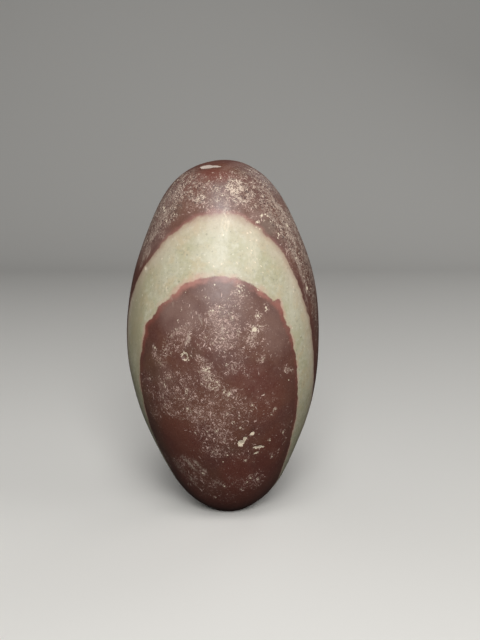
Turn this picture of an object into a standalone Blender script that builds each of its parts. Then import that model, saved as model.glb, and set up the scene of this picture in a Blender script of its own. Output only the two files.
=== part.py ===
"""Shiva lingam stone: an egg of river-worn, banded jasper that stands on a small flat spot.

Units are metres and +Z is up. The front, where the pale band bows over a dark oval, faces -Y,
and +X is to the right. The origin is the centre of the flat spot underneath.
"""

from bisect import bisect_right
from dataclasses import dataclass
from math import asin, atan2, cos, exp, hypot, pi, radians, sin, tan

import bmesh
import bpy
from mathutils import Vector, noise

MM = 0.001

# Driving dimensions
HEIGHT = 101.6 * MM  # from the flat spot to the crown, which is four inches
TIP_WORN = 1.1 * MM  # how much of the round lower tip is worn off flat
HALF_FORM = (HEIGHT + TIP_WORN) / 2  # half the height of the form before the tip is worn off

# The mesh
CUBE_ROWS = 25  # rows of faces along each edge of the cube that is blown up into the form
ROW_SPREAD = 0.149  # draws the rows of a form twice as tall as it is wide to an even spacing
PIT_CUTS = 2  # how many times the faces in a pit are halved
PIT_MARGIN = 0.8 * MM  # the strip round a pit whose faces are halved too
TIP_REACH = 9.0 * MM  # the faces round the lower tip that are halved, for a round flat spot

# Wear
SWELL_PITCH = 11.0 * MM  # the spacing of the low swells that the river left
SWELL_HEIGHT = 0.16 * MM  # how far they stand out or in
FLAT_SOFTNESS = 0.35 * MM  # how high a rubbed flat still bulges in its middle


@dataclass(frozen=True)
class Section:
    """How full the form is at one level, as each side's reach from the upright axis.

    The level runs from -1 at the lower tip to +1 at the crown. A reach is measured as it would
    be at the waist of an ellipsoid, so the same reach at every level makes a true ellipsoid.
    """

    level: float
    left: float
    right: float
    front: float
    back: float


SECTIONS = (
    Section(-1.00, 26.6 * MM, 23.5 * MM, 25.0 * MM, 25.6 * MM),
    Section(-0.88, 26.3 * MM, 25.3 * MM, 24.2 * MM, 24.9 * MM),
    Section(-0.66, 26.3 * MM, 24.5 * MM, 23.9 * MM, 24.6 * MM),
    Section(-0.30, 28.4 * MM, 25.7 * MM, 25.0 * MM, 25.8 * MM),
    Section(0.00, 29.3 * MM, 25.9 * MM, 25.4 * MM, 26.2 * MM),
    Section(0.35, 29.2 * MM, 25.9 * MM, 25.1 * MM, 25.8 * MM),
    Section(0.65, 29.2 * MM, 24.9 * MM, 25.0 * MM, 25.4 * MM),
    Section(0.85, 32.2 * MM, 24.9 * MM, 26.4 * MM, 26.2 * MM),
    Section(1.00, 37.6 * MM, 25.1 * MM, 30.0 * MM, 29.0 * MM),
)
WAIST = SECTIONS[4]


@dataclass(frozen=True)
class RubbedFlat:
    """A broad, soft flat that faces an azimuth and a rise, worn in by a depth.

    An azimuth is 0 at the front and 90 degrees at the right; a rise is 90 degrees straight up.
    """

    azimuth: float
    rise: float
    depth: float


RUBBED_FLATS = (
    RubbedFlat(radians(38), radians(24), 0.35 * MM),
    RubbedFlat(radians(-62), radians(-14), 0.30 * MM),
    RubbedFlat(radians(128), radians(8), 0.45 * MM),
    RubbedFlat(radians(-150), radians(30), 0.40 * MM),
    RubbedFlat(radians(178), radians(-22), 0.45 * MM),
)


@dataclass(frozen=True)
class Pit:
    """A chip or pit: where its middle lies, its half width and half height, depth and turn."""

    azimuth: float
    height: float
    half_width: float
    half_height: float
    depth: float
    turn: float = 0.0


PITS = {
    "crown_chip": Pit(radians(-42), 99.8 * MM, 2.8 * MM, 1.7 * MM, 0.50 * MM, radians(10)),
    "ring_pit": Pit(radians(-26), 50.6 * MM, 1.3 * MM, 1.5 * MM, 0.35 * MM),
    "square_chip": Pit(radians(9), 26.4 * MM, 1.5 * MM, 1.6 * MM, 0.40 * MM),
    "small_chip": Pit(radians(16), 28.9 * MM, 0.9 * MM, 0.9 * MM, 0.25 * MM),
    "long_chip": Pit(radians(22), 24.5 * MM, 2.2 * MM, 0.8 * MM, 0.35 * MM, radians(-8)),
    "shoulder_chip": Pit(radians(33), 86.0 * MM, 1.8 * MM, 1.2 * MM, 0.25 * MM, radians(-25)),
    "back_pit": Pit(radians(163), 61.0 * MM, 1.6 * MM, 1.4 * MM, 0.40 * MM),
    "back_scar": Pit(radians(-118), 38.0 * MM, 1.1 * MM, 2.6 * MM, 0.35 * MM, radians(20)),
}

# The pale band is a flat bed of the rock: all that lies between two parallel planes, whose
# distances from the origin are measured along the direction that the bed faces.
BAND_FACING = Vector((0.08, 0.965, 0.249)).normalized()
BAND_FRONT = -3.9 * MM
BAND_BACK = 5.8 * MM


def curve_slope(levels, values, index):
    """The slope of a smooth curve at one of its points, from the points on either side."""
    low = max(index - 1, 0)
    high = min(index + 1, len(levels) - 1)
    return (values[high] - values[low]) / (levels[high] - levels[low])


def curve_value(levels, values, level):
    """The value at a level of the smooth curve through the given values."""
    index = min(max(bisect_right(levels, level) - 1, 0), len(levels) - 2)
    span = levels[index + 1] - levels[index]
    part = (level - levels[index]) / span
    start, end = values[index], values[index + 1]
    start_slope = curve_slope(levels, values, index) * span
    end_slope = curve_slope(levels, values, index + 1) * span
    swing = 3 * (end - start) - 2 * start_slope - end_slope
    bend = 2 * (start - end) + start_slope + end_slope
    return start + part * (start_slope + part * (swing + part * bend))


def reach(level, azimuth):
    """The reach of the form at a level and an azimuth, which swings smoothly round the sides."""
    levels = [section.level for section in SECTIONS]
    sides = ("left", "right", "front", "back")
    left, right, front, back = (
        curve_value(levels, [getattr(section, side) for section in SECTIONS], level)
        for side in sides
    )
    mean = (left + right + front + back) / 4
    lean_right = (right - left) / 2
    lean_front = (front - back) / 2
    squash = (front + back - left - right) / 4
    return mean + lean_right * sin(azimuth) + lean_front * cos(azimuth) + squash * cos(2 * azimuth)


def form_point(azimuth, level):
    """The point of the form at an azimuth and a level, with the tip below the ground."""
    radius = reach(level, azimuth) * cos(asin(level))
    height = HALF_FORM * (1 + level) - TIP_WORN
    return Vector((radius * sin(azimuth), -radius * cos(azimuth), height))


def facing(azimuth, rise):
    """The unit vector that faces an azimuth and rises by an angle."""
    return Vector((sin(azimuth) * cos(rise), -cos(azimuth) * cos(rise), sin(rise)))


def blow_up(bm):
    """Turn the unit cube round every vertex into the form, with even rows."""
    for vert in bm.verts:
        sphere = Vector([tan(side * pi / 4) for side in vert.co]).normalized()
        rise = asin(max(-1.0, min(1.0, sphere.z)))
        rise -= ROW_SPREAD * sin(2 * rise)
        azimuth = atan2(sphere.x, -sphere.y)
        vert.co = form_point(azimuth, sin(rise))


def outward(point):
    """The direction that points straight out of the form near a point."""
    middle = HEIGHT / 2
    squeeze = (WAIST.front / HALF_FORM) ** 2
    return Vector((point.x, point.y, (point.z - middle) * squeeze)).normalized()


def rub_flats(bm):
    """Wear the broad flats into the form."""
    for flat in RUBBED_FLATS:
        normal = facing(flat.azimuth, flat.rise)
        furthest = max(vert.co.dot(normal) for vert in bm.verts)
        for vert in bm.verts:
            over = vert.co.dot(normal) - (furthest - flat.depth)
            if over > 0:
                kept = FLAT_SOFTNESS * (1 - exp(-over / FLAT_SOFTNESS))
                vert.co -= normal * (over - kept)


def swell(bm):
    """Raise and lower the surface in low swells."""
    for vert in bm.verts:
        vert.co += outward(vert.co) * SWELL_HEIGHT * noise.noise(vert.co / SWELL_PITCH)


def pit_place(pit):
    """A pit's middle on the form, and its directions out, across and up."""
    level = (pit.height + TIP_WORN) / HALF_FORM - 1
    middle = form_point(pit.azimuth, level)
    out = outward(middle)
    across = Vector((cos(pit.azimuth), sin(pit.azimuth), 0))
    up = out.cross(across).normalized()
    if up.z < 0:
        up.negate()
    turned_across = across * cos(pit.turn) + up * sin(pit.turn)
    turned_up = up * cos(pit.turn) - across * sin(pit.turn)
    return middle, out, turned_across, turned_up


def distance_in_pit(point, pit, margin=0.0):
    """How far a point lies from a pit's middle, where 1 is its rim widened by a margin."""
    middle, out, across, up = pit_place(pit)
    offset = point - middle
    if abs(offset.dot(out)) > pit.half_width + pit.half_height:
        return float("inf")
    wide = offset.dot(across) / (pit.half_width + margin)
    high = offset.dot(up) / (pit.half_height + margin)
    return hypot(wide, high)


def halve_faces(bm, is_wanted):
    """Halve the faces whose middle is wanted."""
    faces = [face for face in bm.faces if is_wanted(face.calc_center_median())]
    edges = list({edge for face in faces for edge in face.edges})
    bmesh.ops.subdivide_edges(bm, edges=edges, cuts=1, use_grid_fill=True)


def refine(bm):
    """Halve the faces round the lower tip, and those of each pit, so that its bowl is round."""
    halve_faces(bm, lambda middle: middle.length < TIP_REACH)
    for pit in PITS.values():
        for _ in range(PIT_CUTS):
            halve_faces(bm, lambda middle, pit=pit: distance_in_pit(middle, pit, PIT_MARGIN) < 1)


def sink_pits(bm):
    """Sink each pit's bowl into the surface."""
    for pit in PITS.values():
        out = pit_place(pit)[1]
        for vert in bm.verts:
            distance = distance_in_pit(vert.co, pit)
            if distance < 1:
                vert.co -= out * pit.depth * (1 - distance**2)


def restore_height(bm):
    """Stretch the worn form back to its full height above the ground."""
    top = max(vert.co.z for vert in bm.verts)
    bmesh.ops.scale(bm, vec=(1, 1, HEIGHT / top), verts=bm.verts)


def wear_tip_flat(bm):
    """Cut the lower tip off level with the ground and close the cut."""
    geometry = bm.verts[:] + bm.edges[:] + bm.faces[:]
    cut = bmesh.ops.bisect_plane(
        bm,
        geom=geometry,
        dist=MM * 0.001,
        plane_co=(0, 0, 0),
        plane_no=(0, 0, -1),
        clear_outer=True,
    )
    rim = [item for item in cut["geom_cut"] if isinstance(item, bmesh.types.BMEdge)]
    bmesh.ops.contextual_create(bm, geom=rim)


def is_pale(point):
    """True where a point of the surface lies in the pale band."""
    return BAND_FRONT < point.dot(BAND_FACING) < BAND_BACK


def rock_material(name, colour, roughness):
    """A plain rock finish."""
    material = bpy.data.materials.new(name)
    material.use_nodes = True
    shader = material.node_tree.nodes["Principled BSDF"]
    shader.inputs["Base Color"].default_value = (*colour, 1.0)
    shader.inputs["Roughness"].default_value = roughness
    shader.inputs["Metallic"].default_value = 0.0
    return material


def build_stone():
    """Build the stone as one closed solid."""
    bm = bmesh.new()
    bmesh.ops.create_cube(bm, size=2)
    bmesh.ops.subdivide_edges(bm, edges=bm.edges[:], cuts=CUBE_ROWS - 1, use_grid_fill=True)
    blow_up(bm)
    refine(bm)
    rub_flats(bm)
    swell(bm)
    sink_pits(bm)
    restore_height(bm)
    wear_tip_flat(bm)
    bmesh.ops.triangulate(bm, faces=bm.faces[:])
    bmesh.ops.recalc_face_normals(bm, faces=bm.faces[:])
    for face in bm.faces:
        face.material_index = int(is_pale(face.calc_center_median()))

    mesh = bpy.data.meshes.new("stone")
    bm.to_mesh(mesh)
    bm.free()
    mesh.materials.append(rock_material("red_brown_rock", (0.155, 0.058, 0.040), 0.5))
    mesh.materials.append(rock_material("pale_band_rock", (0.445, 0.415, 0.300), 0.55))
    mesh.shade_smooth()
    mesh.set_sharp_from_angle(angle=radians(50))
    stone = bpy.data.objects.new("stone", mesh)
    bpy.context.scene.collection.objects.link(stone)


for old in list(bpy.data.objects):
    bpy.data.objects.remove(old, do_unlink=True)
build_stone()
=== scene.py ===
"""Studio scene of a shiva lingam stone: an egg of banded, river-worn and hand-rubbed jasper.

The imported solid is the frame. A finely meshed skin is wrapped over it, chipped, pitted and worn,
and finished as dark red-brown rock that one flat bed of pale grey-green rock crosses. Sizes and
places of the stone's own features are in millimetres and angles in degrees; everything else is in
metres and +Z is up. Marks on the front are placed as they are seen from one fixed place, in steps
across and down a view.
"""

import logging
from dataclasses import dataclass, field
from enum import Enum
from functools import partial, reduce
from math import atan2, cos, degrees, radians, sin
from random import Random

import bmesh
import bpy
import numpy as np
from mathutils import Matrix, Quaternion, Vector, noise
from mathutils.bvhtree import BVHTree


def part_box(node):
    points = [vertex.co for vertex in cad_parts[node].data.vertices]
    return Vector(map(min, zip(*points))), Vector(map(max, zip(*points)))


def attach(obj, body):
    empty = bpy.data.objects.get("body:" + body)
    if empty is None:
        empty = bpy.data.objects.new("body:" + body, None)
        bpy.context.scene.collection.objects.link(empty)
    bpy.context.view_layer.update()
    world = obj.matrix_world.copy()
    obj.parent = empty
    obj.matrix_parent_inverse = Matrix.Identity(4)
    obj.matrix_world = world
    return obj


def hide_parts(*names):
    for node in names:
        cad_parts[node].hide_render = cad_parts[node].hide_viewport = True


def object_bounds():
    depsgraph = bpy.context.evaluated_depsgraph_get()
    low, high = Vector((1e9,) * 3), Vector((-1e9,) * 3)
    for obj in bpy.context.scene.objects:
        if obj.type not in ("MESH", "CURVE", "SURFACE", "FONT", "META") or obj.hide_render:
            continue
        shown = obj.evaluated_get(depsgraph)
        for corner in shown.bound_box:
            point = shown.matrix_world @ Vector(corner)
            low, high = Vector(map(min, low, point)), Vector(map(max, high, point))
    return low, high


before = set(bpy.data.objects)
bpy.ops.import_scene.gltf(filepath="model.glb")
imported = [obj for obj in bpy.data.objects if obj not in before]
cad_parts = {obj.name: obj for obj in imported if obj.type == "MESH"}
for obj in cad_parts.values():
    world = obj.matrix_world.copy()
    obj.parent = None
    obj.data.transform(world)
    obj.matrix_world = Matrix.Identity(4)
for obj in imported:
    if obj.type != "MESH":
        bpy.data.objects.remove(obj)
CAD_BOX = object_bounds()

LOG = logging.getLogger("lingam_stone")
MM = 0.001
NUMBER, VECTOR = "NodeSocketFloat", "NodeSocketVector"
Socket = bpy.types.NodeSocket
Colour = tuple[float, float, float, float]
Inputs = dict[str, tuple[str, object]]


def shade(red: int, green: int, blue: int) -> Colour:
    """Turn a colour in everyday 0 to 255 steps into the linear light that shaders work in.

    Args:
        red: The red step.
        green: The green step.
        blue: The blue step.

    Returns:
        The linear colour with full alpha.
    """
    steps = (step / 255 for step in (red, green, blue))
    linear = (s / 12.92 if s <= 0.04045 else ((s + 0.055) / 1.055) ** 2.4 for s in steps)
    return (*linear, 1.0)


def wobble(point: np.ndarray, pitch: float) -> float:
    """A smooth random number from -1 to 1 at a point, with lumps of a pitch in millimetres."""
    return noise.noise(Vector(point) / (pitch * MM))


class Field(Enum):
    """The numbers that the skin carries at each of its points for the wear and the finish to read."""

    BED_FRONT = "bed_front"
    BED_BACK = "bed_back"
    BED_BLUR = "bed_blur"
    BRUISE = "bruise"
    # Scuffed places, and a painted highlight on the pale bed's middle.
    SCUFF_AND_HIGHLIGHT = "scuff_and_highlight"
    CHIP = "chip"
    DOT = "dot"
    RING = "ring"
    FROST = "frost"
    STREAK = "streak"
    RED = "red"
    OLIVE = "olive"
    # Drab patches of the pale bed, and painted shade on its far edges and sides.
    DULL_AND_SHADE = "dull_and_shade"
    # Partly a dusty coating, partly painted sheen and painted rim reflection.
    FILM_AND_SHEEN = "film_and_sheen"
    GROUNDED = "grounded"


# ---------------------------------------------------------------------------------------------
# Wiring node trees
# ---------------------------------------------------------------------------------------------


@dataclass(frozen=True)
class Lumps:
    """A pattern of noise: the pitch of its lumps in millimetres, and its finer layers.

    Detail is how many of those it has, rough how strong they are, and warp how much it swirls.
    """

    pitch: float
    detail: float = 2.0
    rough: float = 0.5
    warp: float = 0.0


class Wiring:
    """Adds nodes to one tree and joins them, so that a finish reads like a recipe."""

    def __init__(self, tree: bpy.types.NodeTree) -> None:
        """Start wiring a shader or geometry tree."""
        self.tree = tree

    def feed(self, socket: Socket, value: object) -> None:
        """Join a socket to another, or set its own value.

        Args:
            socket: The input to feed.
            value: A socket to join it to, or a plain value; None leaves it as it is.
        """
        if isinstance(value, bpy.types.NodeSocket):
            self.tree.links.new(value, socket)
        elif value is not None:
            socket.default_value = value

    def add(self, kind: str, feeds: dict | None = None, **settings: object) -> bpy.types.Node:
        """Add a node.

        Args:
            kind: The node's type.
            feeds: What feeds each input, by the input's name or number.
            **settings: The node's own settings.

        Returns:
            The new node.
        """
        node = self.tree.nodes.new(kind)
        for name, value in settings.items():
            setattr(node, name, value)
        for name, value in (feeds or {}).items():
            self.feed(node.inputs[name], value)
        return node

    def use(self, group: bpy.types.NodeTree, **feeds: object) -> bpy.types.Node:
        """Place a node group, with what feeds each of its inputs by name."""
        return self.add("ShaderNodeGroup", feeds, node_tree=group)

    def calc(self, step: str, *values: object, clamp: bool = False) -> Socket:
        """Work out a number from others by a step such as DIVIDE; clamped, it stays between 0 and 1."""
        feeds = dict(enumerate(values))
        return self.add("ShaderNodeMath", feeds, operation=step, use_clamp=clamp).outputs[0]

    def plus(self, *values: object) -> Socket:
        """Add numbers up."""
        return reduce(partial(self.calc, "ADD"), values)

    def minus(self, first: object, second: object) -> Socket:
        """Take the second number from the first."""
        return self.calc("SUBTRACT", first, second)

    def rest(self, part: object) -> Socket:
        """Take a part from 1."""
        return self.minus(1.0, part)

    def times(self, *values: object) -> Socket:
        """Multiply numbers."""
        return reduce(partial(self.calc, "MULTIPLY"), values)

    def most(self, *values: object) -> Socket:
        """Take the greatest of some numbers."""
        return reduce(partial(self.calc, "MAXIMUM"), values)

    def vector(self, step: str, first: object, second: object = None, scale: object = None) -> Socket:
        """Work out a vector from one or two others by a step such as ADD; scale is for a SCALE step."""
        node = self.add("ShaderNodeVectorMath", {0: first, 1: second, 3: scale}, operation=step)
        return node.outputs["Value" if step in ("DISTANCE", "DOT_PRODUCT") else 0]

    def split(self, vector: Socket) -> bpy.types.NodeOutputs:
        """Take a vector or a colour apart into its three numbers."""
        return self.add("ShaderNodeSeparateXYZ", {0: vector}).outputs

    def draw_out(self, place: Socket, share: float) -> Socket:
        """Squeeze places along Z to a share, so that a pattern read at them is drawn out along Z."""
        return self.add("ShaderNodeMapping", {"Vector": place, "Scale": (1.0, 1.0, share)}).outputs[0]

    def ramp(
        self, value: object, start: object, end: object, low: object = 0.0, high: object = 1.0
    ) -> Socket:
        """Turn a number into a smooth step from low, up to the start, to high, from the end on."""
        feeds = {0: value, 1: start, 2: end, 3: low, 4: high}
        return self.add("ShaderNodeMapRange", feeds, interpolation_type="SMOOTHSTEP").outputs[0]

    def cloud(
        self, place: Socket, scale: object, detail: float = 2.0, rough: float = 0.5, warp: float = 0.0
    ) -> bpy.types.NodeOutputs:
        """Fill space with noise, so many lumps to the metre: a number and a colour, both round 0.5."""
        feeds = {"Vector": place, "Scale": scale, "Detail": detail, "Roughness": rough, "Distortion": warp}
        return self.add("ShaderNodeTexNoise", feeds).outputs

    def noise(self, place: Socket, lumps: Lumps) -> Socket:
        """Read a number round 0.5 from a pattern of noise."""
        return self.cloud(place, 1 / (lumps.pitch * MM), lumps.detail, lumps.rough, lumps.warp)[0]

    def sway(self, place: Socket, lumps: Lumps) -> Socket:
        """Read the same number, taken round 0."""
        return self.minus(self.noise(place, lumps), 0.5)

    def stir(self, place: Socket, scale: object, detail: float, reach: object) -> Socket:
        """Push places about by noise, so many lumps to the metre, with a reach in metres."""
        push = self.vector("SUBTRACT", self.cloud(place, scale, detail)[1], (0.5, 0.5, 0.5))
        return self.vector("ADD", place, self.vector("SCALE", push, scale=reach))

    def blend(self, part: object, under: object, over: object) -> Socket:
        """Lay a part of one colour over another."""
        feeds = {0: part, 6: under, 7: over}
        return self.add("ShaderNodeMix", feeds, data_type="RGBA").outputs[2]

    def read(self, what: Field) -> Socket:
        """Read a number that the skin carries at each of its points, in a finish."""
        return self.add("ShaderNodeAttribute", attribute_name=what.value).outputs["Fac"]

    def read_point(self, name: str) -> Socket:
        """Read a number that points carry, in a geometry tree."""
        return self.add("GeometryNodeInputNamedAttribute", {"Name": name}, data_type="FLOAT").outputs[0]


def start_group(
    name: str, inputs: Inputs, outputs: dict[str, str], kind: str = "ShaderNodeTree"
) -> tuple[Wiring, bpy.types.Node, bpy.types.Node]:
    """Start a node group with named sockets.

    Args:
        name: The group's name.
        inputs: The type and value of each input.
        outputs: The type of each output.
        kind: The kind of tree.

    Returns:
        Its wiring, its input node and its output node.
    """
    tree = bpy.data.node_groups.new(name, kind)
    for label, (socket_type, value) in inputs.items():
        socket = tree.interface.new_socket(label, in_out="INPUT", socket_type=socket_type)
        if value is not None:
            socket.default_value = value
    for label, socket_type in outputs.items():
        tree.interface.new_socket(label, in_out="OUTPUT", socket_type=socket_type)
    net = Wiring(tree)
    return net, net.add("NodeGroupInput"), net.add("NodeGroupOutput")


# ---------------------------------------------------------------------------------------------
# Places on the stone
# ---------------------------------------------------------------------------------------------


@dataclass(frozen=True)
class Sight:
    """The fixed place in front of the stone that the camera stands at and its marks are seen from."""

    eye: tuple[float, float, float] = (0.0, -0.29449, 0.10804)
    look_at: tuple[float, float, float] = (0.00316, 0.0, 0.05607)
    lens: float = 58.5
    sensor: float = 36.0
    columns: int = 480
    rows: int = 640

    def facing(self) -> Quaternion:
        """The turn that faces what is looked at."""
        return (Vector(self.look_at) - Vector(self.eye)).to_track_quat("-Z", "Y")

    def hit(self, surface: BVHTree, column: float, row: float) -> Vector:
        """Find what lies at one step across and down the view.

        Args:
            surface: The surface that is looked at.
            column: The step across, from the left.
            row: The step down, from the top.

        Returns:
            The point that is seen there, or beside the surface its nearest point.
        """
        step = self.sensor / self.lens / self.rows
        across, up = column + 0.5 - self.columns / 2, self.rows / 2 - row - 0.5
        way = (self.facing() @ Vector((across * step, up * step, -1))).normalized()
        seen = surface.ray_cast(self.eye, way)[0]
        if seen is None:
            beside = Vector(self.eye) + way * (Vector(self.look_at) - Vector(self.eye)).length
            seen = surface.find_nearest(beside)[0]
        return seen


@dataclass(frozen=True)
class Mark:
    """An oval mark as it is seen on the front, in steps: column, row, half sizes, turn, strength."""

    column: float
    row: float
    half_width: float
    half_height: float
    turn: float = 0.0
    strength: float = 1.0


@dataclass(frozen=True)
class Spot:
    """An oval place on the skin: azimuth (0 front, 90 right), height, half sizes, turn, strength.

    A ragged spot has an uneven rim, the more so the nearer the last value is to 1.
    """

    azimuth: float
    height: float
    half_width: float
    half_height: float
    turn: float = 0.0
    strength: float = 1.0
    ragged: float = 0.0

    def depth(self) -> float:
        """How far the spot reaches into and out of the skin, in millimetres."""
        return 1.2 * max(self.half_width, self.half_height) + 2


Places = tuple[Mark | Spot, ...]


@dataclass(frozen=True)
class Swing:
    """Where a face of the pale bed swings off its plane: x, height, shift to the back, reach."""

    across: float
    height: float
    shift: float
    reach: float = 3.4

    def pull(self, points: np.ndarray) -> np.ndarray:
        """How strongly the swing pulls at points in millimetres: 1 at its own place, 0 far away."""
        gap = (points[:, 0] - self.across) ** 2 + (points[:, 2] - self.height) ** 2
        return np.exp(-gap / (2 * self.reach**2))


@dataclass(frozen=True)
class PaleBed:
    """The pale band: all rock between two nearly flat faces that cross the stone.

    Its faces swing off their planes on the front, where their edges are seen, and fade back to
    them towards the back of the stone. Its back edge is softer at the top of its bow.
    """

    facing: tuple[float, float, float] = (0.08, 0.965, 0.249)
    front: float = -3.9
    back: float = 5.8
    swings_end: float = 2.0
    swings_fade: float = 3.0
    plane_weight: float = 0.15
    least_blur: float = 0.22
    bow_blur: float = 0.16
    bow_foot: float = 74.0
    bow_rise: float = 10.0
    bow_middle: float = -1.0
    bow_half: float = 14.0
    bow_fade: float = 6.0
    front_swings: tuple[Swing, ...] = (
        Swing(12.5, 8, 1.9), Swing(16, 18, 0.4), Swing(18, 30, -0.2), Swing(18.8, 40, -0.1),
        Swing(18.2, 48, 0.6), Swing(17, 54, 1.0), Swing(15, 60, 1.3), Swing(13.3, 64.7, 1.9),
        Swing(10.6, 65.6, 0.6), Swing(6, 69.3, 0.15), Swing(-1, 71.5, -0.4), Swing(-7.6, 70.8, -0.7),
        Swing(-13, 68, -0.65), Swing(-17.3, 63.9, -0.7), Swing(-20.5, 59.5, -0.3),
        Swing(-22.6, 57.3, 0.5), Swing(-23, 54, -0.3), Swing(-24.2, 49, -0.1), Swing(-24.6, 40, 0.0),
        Swing(-23.5, 33, -0.5), Swing(-22, 25, 0.4),
    )
    front_nicks: tuple[Swing, ...] = (
        Swing(13.7, 64.9, 0.9, 1.1), Swing(-22.5, 57.6, 0.8, 1.0), Swing(-12, 69, 0.35, 1.2),
        Swing(-18.4, 63.2, 0.3, 1.0), Swing(9.4, 67.0, -0.35, 1.0), Swing(16.6, 57.3, 0.35, 0.9),
    )
    back_swings: tuple[Swing, ...] = (
        Swing(-27.5, 62, 2.2), Swing(-26.4, 66.4, 1.5), Swing(-25.1, 69.3, 0.65), Swing(-23.5, 72.2, 0.2),
        Swing(-20.3, 76.5, -0.9), Swing(-17, 80, -1.3), Swing(-11.3, 85.1, -1.3), Swing(-6.5, 87, -1.4),
        Swing(-1.3, 87.9, -0.7), Swing(4.6, 86, -0.45), Swing(8.3, 83.9, -0.2), Swing(13.9, 77.9, -0.2),
        Swing(17.6, 71.4, -0.7), Swing(20.4, 64, -1.2), Swing(22.6, 55.3, -1.45), Swing(23.7, 44, -1.8),
        Swing(23.7, 36, -1.4), Swing(23, 30, -0.4),
    )

    def behind(
        self, points: np.ndarray, level: float, swings: tuple[Swing, ...], nicks: tuple[Swing, ...] = ()
    ) -> np.ndarray:
        """How far points lie behind one face of the bed.

        Args:
            points: The points in millimetres.
            level: The face's plane along the bed's facing.
            swings: Where the face swings off its plane.
            nicks: Where its edge has a small nick or tongue on top of that.

        Returns:
            The distances in millimetres, positive behind the face.
        """
        normal = np.array(Vector(self.facing).normalized())
        in_front = 1 / (1 + np.exp((points[:, 1] - self.swings_end) / self.swings_fade))
        weight = np.full(len(points), self.plane_weight)
        total = np.zeros(len(points))
        for swing in swings:
            pull = swing.pull(points) * in_front
            weight += pull
            total += pull * swing.shift
        distance = points @ normal - level - total / weight
        for nick in nicks:
            distance -= nick.shift * nick.pull(points) * in_front
        return distance

    def behind_front(self, points: np.ndarray) -> np.ndarray:
        """How far points lie behind the front face, both in millimetres."""
        return self.behind(points, self.front, self.front_swings, self.front_nicks)

    def behind_back(self, points: np.ndarray) -> np.ndarray:
        """How far points lie behind the back face, both in millimetres."""
        return self.behind(points, self.back, self.back_swings)

    def blur(self, points: np.ndarray) -> np.ndarray:
        """How soft the back edge is near points.

        Args:
            points: The points in millimetres.

        Returns:
            Half the width of the edge in millimetres, the greatest round the top of its bow.
        """
        rise = np.clip((points[:, 2] - self.bow_foot) / self.bow_rise, 0, 1)
        reach = np.clip((self.bow_half - np.abs(points[:, 0] - self.bow_middle)) / self.bow_fade, 0, 1)
        return self.least_blur + self.bow_blur * rise * reach


# ---------------------------------------------------------------------------------------------
# The stone's skin
# ---------------------------------------------------------------------------------------------


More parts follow.
